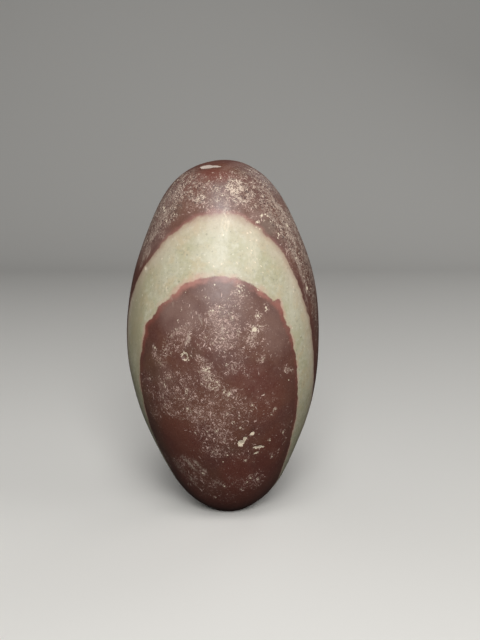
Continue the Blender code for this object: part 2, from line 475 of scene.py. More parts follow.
@dataclass
class StoneSkin:
    """The stone's worn and chipped skin, which takes the place of the plain solid.

    Each list holds the marks of one kind on the front and the spots of that kind elsewhere. A
    mark's size on the skin is felt out a probe's steps to each side of it, and a step covers the
    widest step at most. Below the height of the foot the skin keeps to the solid, to stand as it.
    """

    node: str = "stone"
    name: str = "river_worn_stone"
    bed: PaleBed = field(default_factory=PaleBed)
    chips: Places = (
        Mark(208, 167, 5.2, 1.1, 5, 0.45), Mark(202, 167.6, 4.4, 0.7, 5, 0.3),
        Mark(214.5, 166.5, 5, 0.6, 5, 0.3), Mark(240.2, 442.8, 3, 3.4, -10, 0.42),
        Mark(244.3, 438.3, 2.4, 1.5, 45, 0.32), Mark(251.3, 432.2, 2.7, 1.4, 40, 0.28),
        Mark(257, 446.6, 6.6, 1, -4, 0.3), Mark(258, 445.4, 2.6, 1.1, 15, 0.22),
        Mark(256, 452.2, 2.8, 0.9, 8, 0.12), Spot(163, 61, 1.2, 0.9, 25, 0.38),
        Spot(165.5, 59.8, 1.1, 0.5, -30, 0.3), Spot(-160, 28, 0.8, 0.5, 10, 0.25),
        Spot(-118, 38, 1, 2.4, 20, 0.32),
    )
    dots: Places = (
        Mark(213, 309, 1.3, 1.1, 0, 0.95), Mark(219, 306, 1, 1, 0, 0.95), Mark(205, 296, 1.1, 1, 0, 0.9),
        Mark(185, 291, 0.9, 0.9, 0, 0.85), Mark(257, 290, 1.1, 0.9), Mark(214, 284, 1, 1.2),
        Mark(210, 310, 1.1, 1.5, -30, 0.85), Mark(254.5, 329.5, 3.4, 2.4, 20, 1.1),
        Mark(257, 316, 1.7, 1.7, 0, 0.95), Mark(266, 307, 1, 2, 0, 0.95),
        Mark(239, 290, 1.5, 2, 20, 0.85), Mark(243, 286, 1, 1, 0, 0.85), Mark(222, 338, 1, 1, 0, 0.85),
        Mark(184, 353, 1.4, 1.4, 0, 0.95), Mark(188, 359, 1, 1, 0, 0.95),
        Mark(205, 370, 1.7, 1.2, -20, 0.95), Mark(207, 367, 1.1, 1.1, 0, 0.85), Mark(216, 382, 1.4, 1.2),
        Mark(213, 388, 1.2, 1), Mark(223.5, 391.5, 1.3, 1.1, 0, 0.95), Mark(229, 394, 2.1, 1.2, 40),
        Mark(251.5, 404.5, 1.1, 1, 0, 0.9), Mark(187, 408.5, 1.3, 1), Mark(207, 430.5, 1, 0.9, 0, 0.9),
        Mark(216, 431, 1.2, 1.2, 0, 0.85), Mark(239.5, 427, 1.8, 0.9, -15, 0.85),
        Mark(234, 422, 2.1, 0.8, 8, 0.85), Mark(275, 408.5, 0.9, 1.5, -35, 0.85),
        Mark(271, 414.5, 1, 1, 0, 0.85), Mark(282.8, 431.5, 0.9, 1.4, -20, 0.95),
        Mark(269.5, 439.3, 1.3, 0.9, 10, 0.9), Mark(271.8, 456.5, 1, 0.8),
        Mark(245, 460.5, 1.5, 0.9, -20), Mark(226.5, 455, 1.1, 0.9, 0, 0.95),
        Mark(222, 461, 0.9, 0.9, 0, 0.85), Mark(250.5, 477, 1.1, 1, 0, 0.95),
        Mark(247, 481.5, 1.5, 0.9, 45, 0.9), Mark(258.5, 478.5, 1.7, 0.9, 45, 0.85),
        Mark(223.5, 486, 1.4, 1, -40, 0.9), Mark(241, 489, 1.4, 0.7, 10, 0.85),
        Mark(215, 497, 1, 0.7, 0, 0.85), Mark(202, 473, 1.2, 1.4, 0, 0.9),
        Mark(261.3, 216, 1.5, 2.4, -20, 0.9), Mark(257.3, 222, 1.3, 1.9, 10, 0.95),
        Mark(256, 227, 0.9, 1.4, 20, 0.9), Mark(259.5, 229, 0.9, 1.2, -20, 0.9),
        Mark(267.3, 216, 1.9, 1.2, -20, 0.9), Mark(265, 214, 1.2, 1, 0, 0.9), Mark(163, 208, 1, 1.2),
        Mark(208.5, 181, 1, 0.9, 0, 0.9), Mark(220.5, 177.5, 1, 0.9, 0, 0.95),
        Mark(277.5, 237.5, 0.9, 0.9, 0, 0.9), Mark(287, 225, 0.8, 1.8, 10),
        Mark(222.5, 194.5, 1, 1, 0, 0.95), Mark(145, 268, 1.3, 2.1, -20), Mark(164, 210, 1, 1.2, 0, 0.9),
        Mark(166, 221, 1, 1, 0, 0.9), Mark(160, 224, 1, 1.2, 0, 0.85), Mark(174, 214, 0.9, 0.9, 0, 0.9),
        Mark(296, 258, 1.2, 1.2, 0, 0.9), Mark(306.5, 288, 1, 2.4, 10), Mark(278, 234, 1, 1.2, 0, 0.95),
        Mark(270, 222, 1, 1, 0, 0.85), Mark(154.5, 347, 1.2, 1.4, 0, 0.9),
        Mark(292, 369, 1, 0.8, -20, 0.8), Mark(285, 371, 0.9, 0.9, 0, 0.8),
        Mark(149.5, 377, 0.9, 0.9, 0, 0.85), Mark(288, 379, 0.9, 0.9, 0, 0.85),
        Mark(251, 232, 1, 1, 0, 0.9), Mark(249, 240, 1, 1.2, 0, 0.85), Mark(247, 247, 1.2, 1, 0, 0.95),
        Mark(250, 253, 1, 1, 0, 0.9), Mark(254, 262, 1.3, 1), Mark(257, 258, 1, 1, 0, 0.9),
        Mark(260, 266, 1.2, 1), Mark(262, 272, 1.2, 1.2, 0, 0.9), Mark(246, 268, 1, 1, 0, 0.9),
        Mark(213, 265, 1.3, 1), Mark(209, 262, 1, 1, 0, 0.9), Mark(236, 262, 1, 1, 0, 0.85),
        Mark(200, 258, 0.9, 0.9, 0, 0.8), Spot(-160, 50, 0.5, 0.5, 0, 1), Spot(150, 66, 0.5, 0.6, 0, 1),
        Spot(175, 38, 0.5, 0.4, 0, 1), Spot(-130, 72, 0.5, 0.5, 0, 1), Spot(120, 30, 0.4, 0.5, 0, 1),
    )
    rings: tuple[Spot, ...] = (Spot(-26.4, 50.4, 0.88, 0.95, 10, 0.3),)
    # Scuffed places; the one at column 217, row 254 is a painted highlight on the middle of the pale bed.
    scuffs_and_highlight: Places = (
        Mark(226, 224, 4.5, 18, 0, 0.8), Mark(235, 187, 8, 6.5, 35, 0.75), Mark(199, 199, 5, 4, 35, 0.45),
        Mark(252, 246, 8, 24, -6, 0.5), Mark(217, 254, 10, 12, 0, 0.95), Mark(232, 262, 8, 4, 0, 0.4),
        Mark(160, 262, 8, 8, 0, 0.35), Mark(205, 236, 8, 10, 0, 0.3), Mark(292, 300, 3, 30, -8, 0.35),
        Mark(240, 288, 3.5, 7, 15, 0.9), Mark(236, 293, 6, 4, 0, 0.5), Mark(266, 307, 2, 4.5, 0, 0.9),
        Mark(257, 316, 3.5, 3.5, 0, 0.85), Mark(255, 329, 6, 4, 25), Mark(252, 340, 6, 6, 0, 0.55),
        Mark(213, 309, 2, 2, 0, 0.9), Mark(219, 306, 1.6, 1.6, 0, 0.9), Mark(205, 296, 1.6, 1.6, 0, 0.8),
        Mark(210, 311, 3, 4, -30, 0.6), Mark(222, 331, 2, 7, 0, 0.7), Mark(220, 339, 6, 3, 0, 0.7),
        Mark(188, 337, 2, 8, -10, 0.75), Mark(165, 348, 2.5, 8, 0, 0.7), Mark(176, 332, 10, 3, 30, 0.5),
        Mark(154, 347, 2, 3.5, 30, 0.6), Mark(162, 362, 4, 5, 45, 0.3), Mark(201, 358, 6, 2, -35, 0.7),
        Mark(205, 370, 5, 4), Mark(211, 381, 6, 9, 30, 0.75), Mark(216, 385, 3, 4, 0, 0.9),
        Mark(223, 391, 1.7, 1.7), Mark(229, 394, 3, 1.8, 35), Mark(262, 359, 2, 2, 0, 0.8),
        Mark(257, 360, 1.5, 2, 0, 0.6), Mark(288, 369, 4.5, 2, -25, 0.45), Mark(234, 367, 3, 4, 30, 0.55),
        Mark(187, 408, 1.8, 1.6, 0, 0.9), Mark(252, 404, 1.5, 1.5), Mark(274, 409, 1.2, 3.5, -35, 0.8),
        Mark(270, 415, 1, 2, -20, 0.7), Mark(234, 422, 3, 1.2, 10, 0.9),
        Mark(240, 427, 2.6, 1.2, -15, 0.9), Mark(216, 431, 2.6, 2.6, 0, 0.6),
        Mark(207, 430, 1.4, 1.4, 0, 0.8), Mark(283, 431, 1, 1.8, -20), Mark(269, 439, 1.6, 1.2, 0, 0.7),
        Mark(245, 460, 2, 1.2, -30, 0.9), Mark(272, 456, 1.2, 1, 0, 0.8),
        Mark(226, 455, 1.6, 1.4, 0, 0.7), Mark(214, 451, 4, 2.5, -30, 0.6),
        Mark(250, 477, 1.5, 1.5, 0, 0.7), Mark(247, 481, 2, 1.2, 45, 0.8),
        Mark(258, 478, 2.4, 1.2, 45, 0.7), Mark(241, 489, 2, 0.9, 0, 0.5),
        Mark(224, 486, 2, 1.2, -40, 0.8), Mark(189, 484, 2, 1.2, 0, 0.5), Mark(214, 497, 1.2, 1, 0, 0.4),
        Mark(262, 217, 2.6, 3.4, -20), Mark(257, 222, 2.4, 1.8, 10), Mark(267, 214, 1.5, 1.5, 0, 0.7),
        Mark(162, 208, 1.5, 2.2, 0, 0.8), Mark(165, 212, 2, 2, 0, 0.6),
        Mark(146, 269, 1.3, 2.2, -20, 0.9), Mark(220, 177, 1.2, 1.2, 0, 0.8),
        Mark(209, 180, 1.4, 1.4, 0, 0.6), Mark(277, 237, 1.2, 1.2, 0, 0.8),
        Mark(162, 235, 2, 3, -30, 0.6), Spot(150, 44, 3, 4, 20, 0.5), Spot(-160, 70, 3, 2.2, -10, 0.6),
        Spot(118, 58, 2, 3.4, 15, 0.5), Spot(-140, 30, 3.2, 2, 0, 0.45), Spot(170, 82, 3, 2, 0, 0.5),
        Spot(-110, 52, 1.2, 3, 10, 0.5), Spot(95, 26, 1.6, 2.2, -20, 0.5),
    )
    bruised: Places = (
        Mark(222, 345, 56, 52, 0, 0.3), Mark(222, 425, 42, 44, 0, 0.24), Mark(221, 328, 20, 27),
        Mark(256, 330, 11, 20, -10, 0.7), Mark(238, 300, 22, 11, 0, 0.4), Mark(178, 339, 19, 9, 48, 0.85),
        Mark(158, 358, 8, 10, 0, 0.5), Mark(203, 360, 11, 5, -32, 0.8), Mark(211, 380, 11, 17, 25),
        Mark(232, 367, 12, 7, 20, 0.75), Mark(244, 346, 16, 12, 0, 0.5), Mark(261, 359, 6, 6, 0, 0.6),
        Mark(288, 369, 7, 4, -20, 0.5), Mark(177, 388, 22, 16, 0, 0.85), Mark(180, 403, 24, 16, 0, 0.85),
        Mark(212, 424, 23, 28, 0, 0.9), Mark(247, 413, 13, 16, 0, 0.6), Mark(226, 398, 20, 12, 0, 0.7),
        Mark(213, 449, 14, 9, 0, 0.7), Mark(262, 405, 16, 24, 0, 0.25), Mark(240, 452, 24, 14, 0, 0.35),
        Mark(190, 470, 12, 16, 20, 0.45), Mark(222, 488, 30, 14, 0, 0.3), Mark(252, 480, 14, 10, 0, 0.4),
        Mark(150, 395, 7, 26, 0, 0.35), Mark(278, 345, 16, 40, 0, 0.16), Mark(280, 435, 9, 26, 0, 0.2),
        Mark(190, 305, 18, 14, 0, 0.25), Spot(-1, 93, 13, 8, 0, 0.5), Spot(60, 80, 7, 12, 0, 0.5),
        Spot(150, 48, 16, 18, 0, 0.8, 0.7), Spot(-150, 62, 15, 16, 0, 0.75, 0.7),
        Spot(180, 24, 14, 11, 0, 0.6, 0.7), Spot(-120, 30, 9, 14, 0, 0.6, 0.7),
        Spot(110, 40, 7, 16, 0, 0.6, 0.7), Spot(-100, 80, 8, 12, 0, 0.6, 0.7),
    )
    frosted: Places = (
        Mark(264, 180, 11, 9, 30, 0.5), Mark(252, 169, 12, 4, 10, 0.3), Mark(180, 182, 12, 9, -35, 0.6),
        Mark(166, 200, 8, 12, -30, 0.55), Mark(154, 228, 6, 14, -22, 0.5),
        Spot(-78, 84, 5, 9, 0, 0.6, 0.4), Spot(76, 80, 5, 12, 0, 0.6, 0.4),
        Mark(190, 190, 17, 13, 0, 0.45), Mark(170, 214, 9, 12, -20, 0.55),
        Mark(160, 232, 6, 12, -25, 0.45), Mark(262, 196, 14, 12, 0, 0.5), Mark(284, 232, 7, 20, 20, 0.45),
        Mark(299, 262, 5, 22, 10, 0.35), Mark(144, 262, 5, 14, -12, 0.35),
        Mark(235, 186, 9.5, 7.5, 35, 1.25), Mark(199, 199, 6, 4.5, 35, 0.9),
        Mark(172, 206, 8, 11, 20, 0.6), Mark(216, 189, 6, 6, 0, 0.5), Mark(232, 203, 26, 11, 0, 0.75),
        Mark(256, 192, 12, 12, -20, 0.6), Mark(185, 185, 14, 12, 20, 0.4),
        Mark(285, 225, 10, 30, 20, 0.6), Mark(298, 262, 7, 28, 10, 0.6), Mark(152, 238, 7, 24, -22, 0.4),
        Mark(250, 168, 16, 4, 0, 0.22), Mark(270, 226, 10, 8, 0, 0.35), Spot(70, 62, 4, 14, -8, 0.5),
        Spot(160, 84, 16, 10, 0, 0.75, 0.7), Spot(180, 96, 14, 10, 0, 0.7, 0.7),
        Spot(-140, 74, 9, 11, 0, 0.55, 0.7), Spot(110, 88, 9, 9, 0, 0.7, 0.7),
        Spot(-100, 88, 8, 9, 0, 0.6, 0.7), Spot(130, 52, 9, 14, 0, 0.35, 0.7),
    )
    streaks: Places = (
        Mark(164, 286, 1, 5, -10, 0.5), Mark(167, 289, 1, 4, 20, 0.45), Mark(226, 216, 3.6, 14, 0, 0.5),
        Mark(222, 226, 1.2, 10, 0, 0.4), Mark(253, 255, 5, 22, -8, 0.2),
        Mark(285, 224, 1.8, 11, 22, 0.75), Mark(291, 236, 1.5, 10, 20, 0.6), Mark(287, 225, 1.2, 4, 10),
        Mark(280, 210, 1.6, 9, 28, 0.8), Mark(296, 258, 1.6, 11, 14, 0.65),
        Mark(299, 238, 1.3, 12, 18, 0.45), Mark(303, 250, 1.4, 12, 12, 0.5),
        Mark(301, 275, 1.3, 11, 10, 0.6), Mark(306, 288, 1.3, 5, 15), Mark(308, 262, 1.6, 20, 8, 0.3),
        Mark(306, 300, 1.2, 14, 6, 0.35), Mark(273, 200, 1.6, 8, 32, 0.7),
        Mark(265, 190, 1.4, 6, 40, 0.6), Mark(276, 222, 1.2, 7, 24, 0.6),
        Mark(152, 236, 1.8, 10, -24, 0.45), Mark(148, 252, 1.2, 5, -10, 0.8),
        Mark(158, 222, 1.6, 7, -24, 0.35), Mark(165, 214, 1.4, 6, -30, 0.5),
        Mark(147, 248, 1.3, 9, -18, 0.45), Mark(142, 262, 1, 7, -16, 0.6),
        Mark(189, 463, 2.2, 6.5, 35, 0.7), Mark(197, 463, 1.6, 4.5, 30, 0.7),
        Mark(203, 472, 2.6, 3, -20, 0.8), Mark(191, 479, 1.6, 4.5, 20, 0.65),
        Mark(184, 459, 1.4, 1.4, 0, 0.6), Mark(218, 483, 6, 0.8, -30, 0.7), Mark(178, 466, 3, 6, 25, 0.3),
        Mark(222, 331, 0.9, 7, 0, 0.7), Mark(188, 337, 0.9, 7, -12, 0.7),
        Mark(200, 320, 0.7, 6, 25, 0.55), Mark(172, 300, 0.8, 7, 20, 0.4), Spot(150, 70, 0.7, 5, 14, 0.6),
        Spot(-150, 50, 0.6, 4.5, -12, 0.6), Spot(-95, 62, 0.6, 5, -10, 0.5),
        Spot(105, 74, 0.6, 5, 10, 0.5),
    )
    redder: Places = (
        Mark(213, 174, 19, 5.5), Mark(186, 182, 14, 8, 0, 0.6), Mark(232, 176, 9, 8, -20, 0.5),
        Mark(236, 478, 18, 20), Mark(225, 500, 34, 16, 0, 0.7), Mark(270, 455, 12, 26, 0, 0.7),
        Mark(178, 440, 20, 22, 0, 0.6), Mark(196, 480, 18, 18, 0, 0.45), Mark(250, 380, 20, 16, 0, 0.5),
        Mark(268, 400, 17, 24, 0, 0.45), Mark(203, 347, 12, 8, 0, 0.3),
        Spot(-150, 45, 10, 8, 0, 0.5, 0.7), Spot(140, 70, 9, 8, 0, 0.4, 0.7),
    )
    # Grey-mauve coating, partly the rock's own dusty coating and partly painted sheen; the thin ones along
    # the top and side edges are painted rim reflection.
    filmed_and_sheened: Places = (
        Mark(178, 314, 20, 22, 0, 0.9), Mark(215, 293, 30, 10, 0, 0.45), Mark(232, 285, 14, 6, 0, 0.3),
        Mark(267, 227, 8, 7, 0, 0.45), Mark(258, 214, 10, 5, 0, 0.6), Mark(240, 162, 12, 2, 0, 0.5),
        Mark(160, 240, 8, 14, -20, 0.5), Mark(165, 380, 10, 18, 0, 0.3), Mark(276, 322, 16, 34, 0, 0.6),
        Mark(250, 312, 14, 18, 0, 0.35), Mark(305, 236, 4, 30, 16, 0.6), Mark(152, 236, 6, 22, -22, 0.8),
        Mark(166, 200, 6, 14, -30, 0.8), Spot(-80, 82, 6, 10, 0, 0.8, 0.4),
        Spot(78, 80, 5, 12, 0, 0.7, 0.4), Mark(292, 216, 6, 20, 25, 0.5),
        Spot(-130, 55, 10, 16, 0, 0.4, 0.7), Spot(140, 35, 10, 14, 0, 0.4, 0.7),
    )
    # Drab, darker places of the pale bed: the ones near column 150 are its own patches; those along its far
    # edges and on the sides are painted shade.
    dulled_and_shaded: Places = (
        Mark(136, 310, 6, 44), Mark(150, 268, 14, 12, 40, 0.6), Mark(141, 370, 5, 40),
        Mark(158, 285, 9, 10, 0, 0.35), Mark(303, 400, 6, 30, 0, 0.25), Spot(90, 50, 6, 22, 0, 0.5, 0.7),
        Spot(-95, 55, 6, 22, 0, 0.6, 0.7),
    )
    olives: Places = (
        Mark(151, 362, 8, 20, 0, 0.8), Mark(192, 352, 10, 7, 0, 0.7), Mark(187, 343, 6, 6, 0, 0.4),
        Mark(150, 420, 7, 26, 0, 0.6), Mark(207, 482, 15, 16, 0, 0.7), Mark(230, 450, 14, 6, 0, 0.45),
        Mark(254, 334, 8, 6, 0, 0.5), Mark(268, 227, 8, 8, 0, 2), Mark(240, 171, 8, 4, 0, 0.8),
        Mark(172, 209, 8, 8, 0, 0.8), Mark(283, 232, 7, 16, 20, 0.5), Mark(205, 376, 6, 6, 0, 0.5),
        Spot(165, 60, 7, 6, 0, 0.5), Spot(-170, 32, 9, 6, 0, 0.4), Spot(100, 66, 4, 8, 0, 0.4),
    )

    sight: Sight = field(default_factory=Sight)
    rows: int = 118
    row_spread: float = 0.149
    smoothing: int = 60
    foot: float = 1.2
    probe: float = 3.0
    widest_step: float = 0.7
    soft_rim: float = 0.55
    bare_rim: float = 1.2
    frost_fade: float = 2.2
    chip_reach: float = 1.1
    chip_steepness: float = 1.5
    chip_pitch: float = 0.9
    chip_unevenness: float = 0.45
    chip_depth: float = 0.7
    ring_steepness: float = 1.6
    around: tuple[float, float] = (72.0, 288.0)
    heights: tuple[float, float] = (10.0, 95.0)
    surface: BVHTree | None = field(default=None, init=False)
    uneven: np.ndarray | None = field(default=None, init=False)

    def solid_surface(self) -> BVHTree:
        """Read the plain solid's surface.

        Returns:
            The surface, for finding its nearest points.
        """
        bm = bmesh.new()
        bm.from_mesh(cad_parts[self.node].data)
        bmesh.ops.remove_doubles(bm, verts=bm.verts[:], dist=0.001 * MM)
        surface = BVHTree.FromBMesh(bm)
        bm.free()
        return surface

    def corners(self) -> tuple[np.ndarray, np.ndarray]:
        """Read the lowest and the highest corner of the plain solid's box."""
        low, high = (np.array(corner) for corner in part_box(self.node))
        return low, high

    @staticmethod
    def points(mesh: bpy.types.Mesh) -> np.ndarray:
        """Read where a mesh's points are.

        Args:
            mesh: The mesh.

        Returns:
            A row of three numbers for each point.
        """
        flat = np.empty(len(mesh.vertices) * 3)
        mesh.vertices.foreach_get("co", flat)
        return flat.reshape(-1, 3)

    @staticmethod
    def place(mesh: bpy.types.Mesh, points: np.ndarray) -> None:
        """Move a mesh's points."""
        mesh.vertices.foreach_set("co", points.ravel())
        mesh.update()

    def fine_grid(self) -> bpy.types.Mesh:
        """Blow a finely ruled cube up into an egg round the stone, with its rows spread evenly.

        Returns:
            The mesh, whose points lie on an egg of about the stone's size.
        """
        bm = bmesh.new()
        bmesh.ops.create_cube(bm, size=2)
        bmesh.ops.subdivide_edges(bm, edges=bm.edges[:], cuts=self.rows - 1, use_grid_fill=True)
        mesh = bpy.data.meshes.new(self.name)
        bm.to_mesh(mesh)
        bm.free()
        ball = np.tan(self.points(mesh) * (np.pi / 4))
        ball /= np.linalg.norm(ball, axis=1, keepdims=True)
        rise = np.arcsin(np.clip(ball[:, 2], -1, 1))
        azimuth = np.arctan2(ball[:, 0], -ball[:, 1])
        rise -= self.row_spread * np.sin(2 * rise)
        ball = np.stack((np.cos(rise) * np.sin(azimuth), -np.cos(rise) * np.cos(azimuth), np.sin(rise)), 1)
        low, high = self.corners()
        self.place(mesh, (low + high) / 2 + ball * (high - low) / 2)
        return mesh

    @staticmethod
    def relax(points: np.ndarray, edges: np.ndarray, passes: int) -> np.ndarray:
        """Even out a surface by drawing each point towards its neighbours.

        Args:
            points: The points.
            edges: The pairs of points that are neighbours.
            passes: How many times.

        Returns:
            The evened points.
        """
        count = np.bincount(edges.ravel(), minlength=len(points))[:, None]
        for _ in range(passes):
            total = np.empty_like(points)
            for axis in range(3):
                first = np.bincount(edges[:, 0], points[edges[:, 1], axis], len(points))
                second = np.bincount(edges[:, 1], points[edges[:, 0], axis], len(points))
                total[:, axis] = first + second
            points = (points + total / count) / 2
        return points

    def wrap(self, mesh: bpy.types.Mesh) -> None:
        """Lay the grid on the solid and rub the solid's facets out, keeping its box and its flat spot.

        Args:
            mesh: The grid.
        """
        self.surface = self.solid_surface()
        points = np.array([self.surface.find_nearest(Vector(point))[0] for point in self.points(mesh)])
        edges = np.empty(len(mesh.edges) * 2, np.int64)
        mesh.edges.foreach_get("vertices", edges)
        lifted = np.clip(points[:, 2] / (self.foot * MM), 0, 1)[:, None] ** 0.5
        smooth = self.relax(points, edges.reshape(-1, 2), self.smoothing)
        low, high = self.corners()
        grown = (smooth - smooth.min(0)) / (smooth.max(0) - smooth.min(0)) * (high - low) + low
        grown[:, 2] = smooth[:, 2] * (high[2] / smooth[:, 2].max())
        points = points * (1 - lifted) + grown * lifted
        points[:, 2] = np.maximum(points[:, 2], 0)
        self.place(mesh, points)

    def settle(self, place: Mark | Spot) -> Spot:
        """Find the spot on the skin that a mark on the front covers.

        Args:
            place: The mark, or a spot, which stays as it is.

        Returns:
            The spot.
        """
        if isinstance(place, Spot):
            return place
        middle = self.sight.hit(self.surface, place.column, place.row)
        halves = []
        for across, down, half in ((1, 0, place.half_width), (0, 1, place.half_height)):
            ends = [
                self.sight.hit(self.surface, place.column + side * across, place.row + side * down)
                for side in (-self.probe, self.probe)
            ]
            step = max((end - middle).length for end in ends) / self.probe / MM
            halves.append(half * min(step, self.widest_step))
        azimuth = degrees(atan2(middle.x, -middle.y))
        return Spot(azimuth, middle.z / MM, *halves, place.turn, place.strength)

    def seat(self, mesh: bpy.types.Mesh, spot: Spot) -> tuple[np.ndarray, ...]:
        """Find where a spot sits on the skin.

        Args:
            mesh: The skin.
            spot: The spot.

        Returns:
            Its middle in millimetres, and its directions out, across and up.
        """
        azimuth, turn = radians(spot.azimuth), radians(spot.turn)
        away = np.array((sin(azimuth), -cos(azimuth)))
        points = self.points(mesh) / MM
        side = points[:, 0] * away[1] - points[:, 1] * away[0]
        wrong_side = np.where(points[:, :2] @ away > 0, 0, np.inf)
        nearest = int(np.argmin(side**2 + (points[:, 2] - spot.height) ** 2 + wrong_side))
        out = np.array(mesh.vertices[nearest].normal)
        across = np.array((cos(azimuth), sin(azimuth), 0))
        across -= out * (across @ out)
        across /= np.linalg.norm(across)
        up = np.cross(out, across)
        up *= 1 if up[2] >= 0 else -1
        return points[nearest], out, across * cos(turn) + up * sin(turn), up * cos(turn) - across * sin(turn)

    def closeness(
        self, mesh: bpy.types.Mesh, places: Places, reach: float
    ) -> list[tuple[Spot, np.ndarray]]:
        """How close the skin's points lie to the middle of each mark or spot.

        Args:
            mesh: The skin.
            places: The marks and spots.
            reach: How many times its own size each of them reaches.

        Returns:
            Each one's spot, with a number for each point: 1 at its middle, 0 at its rim and beyond.
        """
        points = self.points(mesh) / MM
        found = []
        for spot in map(self.settle, places):
            middle, out, across, up = self.seat(mesh, spot)
            offset = points - middle
            wide = offset @ across / (spot.half_width * reach)
            high = offset @ up / (spot.half_height * reach)
            deep = offset @ out / (spot.depth() * reach)
            found.append((spot, np.clip(1 - np.sqrt(wide**2 + high**2 + deep**2), 0, 1)))
        return found

    def closest(
        self, mesh: bpy.types.Mesh, places: Places, reach: float, weighted: bool = False
    ) -> np.ndarray:
        """How close points lie to the nearest of some marks or spots; weighted, by their strengths too."""
        found = self.closeness(mesh, places, reach)
        return np.max([close * (spot.strength if weighted else 1) for spot, close in found], axis=0)

    def gather(self, mesh: bpy.types.Mesh, places: Places, reach: float = 1.35) -> np.ndarray:
        """Merge soft-rimmed marks and spots into one number at each point, the strongest one's.

        Args:
            mesh: The skin.
            places: The marks and spots.
            reach: How far their soft rims reach.

        Returns:
            The number at each point, 0 where there is none of them.
        """
        total = np.zeros(len(mesh.vertices))
        for spot, close in self.closeness(mesh, places, reach):
            close = np.where(close > 0, 1 - (1 - close) * (1 + spot.ragged * self.uneven), 0)
            level = np.clip(close / self.soft_rim, 0, 1)
            total = np.maximum(total, spot.strength * (level * level * (3 - 2 * level)))
        return total

    def sink_chips(self, mesh: bpy.types.Mesh) -> None:
        """Knock the chips, with steep rims and uneven floors, and the smooth ring pit into the skin.

        Args:
            mesh: The skin.
        """
        points = self.points(mesh)
        sunk = points.copy()
        for chip, close in self.closeness(mesh, self.chips, self.chip_reach):
            out = self.seat(mesh, chip)[1]
            inside = close > 0
            uneven = np.array([wobble(point, self.chip_pitch) for point in points[inside]])
            floor = np.clip(close[inside] * self.chip_steepness + uneven * self.chip_unevenness, 0, 1)
            sunk[inside] -= out * (chip.strength * MM * floor * (2 - floor))[:, None] * self.chip_depth
        for ring, close in self.closeness(mesh, self.rings, self.chip_reach):
            out = self.seat(mesh, ring)[1]
            bowl = np.clip(close * self.ring_steepness, 0, 1)
            sunk -= out * (ring.strength * MM * bowl * (2 - bowl))[:, None]
        self.place(mesh, sunk)

    def strewn(self, seed: int, count: int, least: float, most: float) -> tuple[Spot, ...]:
        """Strew small marks over the sides and the back, the same ones each time.

        Args:
            seed: Which throw of the dice.
            count: How many marks.
            least: The least half width in millimetres.
            most: The greatest half width in millimetres.

        Returns:
            The marks.
        """
        dice = Random(seed)
        spots = []
        for _ in range(count):
            half = least * (most / least) ** (dice.random() ** 1.5)
            azimuth, height = dice.uniform(*self.around), dice.uniform(*self.heights)
            taller, turn, strength = dice.uniform(0.7, 2.2), dice.uniform(-40, 40), dice.uniform(0.5, 1)
            spots.append(Spot(azimuth, height, half, half * taller, turn, strength, ragged=0.6))
        return tuple(spots)

    def note_fields(self, mesh: bpy.types.Mesh) -> None:
        """Note on the skin where the bed lies, where the rock is bruised, chipped and frosted, and where
        sheen, a highlight and shade are painted.

        Args:
            mesh: The skin.
        """
        self.uneven = np.array([wobble(spot.co, 6.0) + 0.6 * wobble(spot.co, 2.4) for spot in mesh.vertices])
        points = self.points(mesh) / MM
        back = self.bed.behind_back(points)
        clear_of_bed = np.clip((back - self.bare_rim) / self.frost_fade, 0, 1)
        bruised = self.bruised + self.strewn(seed=3, count=26, least=1.5, most=5.0)
        scuffs_and_highlight = self.scuffs_and_highlight + self.strewn(seed=5, count=44, least=0.4, most=1.8)
        dots = self.dots + self.strewn(seed=7, count=60, least=0.26, most=0.5)
        fields = {
            Field.BED_FRONT: self.bed.behind_front(points),
            Field.BED_BACK: back,
            Field.BED_BLUR: self.bed.blur(points),
            Field.BRUISE: self.gather(mesh, bruised),
            Field.SCUFF_AND_HIGHLIGHT: self.gather(mesh, scuffs_and_highlight, reach=1.5),
            Field.CHIP: self.closest(mesh, self.chips, reach=1.75),
            Field.DOT: self.closest(mesh, dots, reach=2.0, weighted=True),
            Field.RING: self.closest(mesh, self.rings, reach=2.0),
            Field.FROST: self.gather(mesh, self.frosted) * clear_of_bed,
            Field.STREAK: self.gather(mesh, self.streaks, reach=1.4),
            Field.RED: self.gather(mesh, self.redder),
            Field.OLIVE: self.gather(mesh, self.olives),
            Field.DULL_AND_SHADE: self.gather(mesh, self.dulled_and_shaded),
            Field.FILM_AND_SHEEN: self.gather(mesh, self.filmed_and_sheened),
            Field.GROUNDED: np.clip(1 - points[:, 2] / self.foot, 0, 1),
        }
        for what, values in fields.items():
            layer = mesh.attributes.new(what.value, "FLOAT", "POINT")
            layer.data.foreach_set("value", values.astype(np.float32))

    def build(self, wear: "RiverWear", finish: bpy.types.Material) -> bpy.types.Object:
        """Build the skin, wear it and put it in the solid's place.

        Args:
            wear: The fine wear.
            finish: The rock's finish.

        Returns:
            The finished piece.
        """
        mesh = self.fine_grid()
        self.wrap(mesh)
        self.sink_chips(mesh)
        self.note_fields(mesh)
        mesh.materials.append(finish)
        stone = bpy.data.objects.new(self.name, mesh)
        bpy.context.scene.collection.objects.link(stone)
        wear.apply(stone, finish)
        stone.data.shade_smooth()
        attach(stone, "root")
        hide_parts(self.node)
        return stone


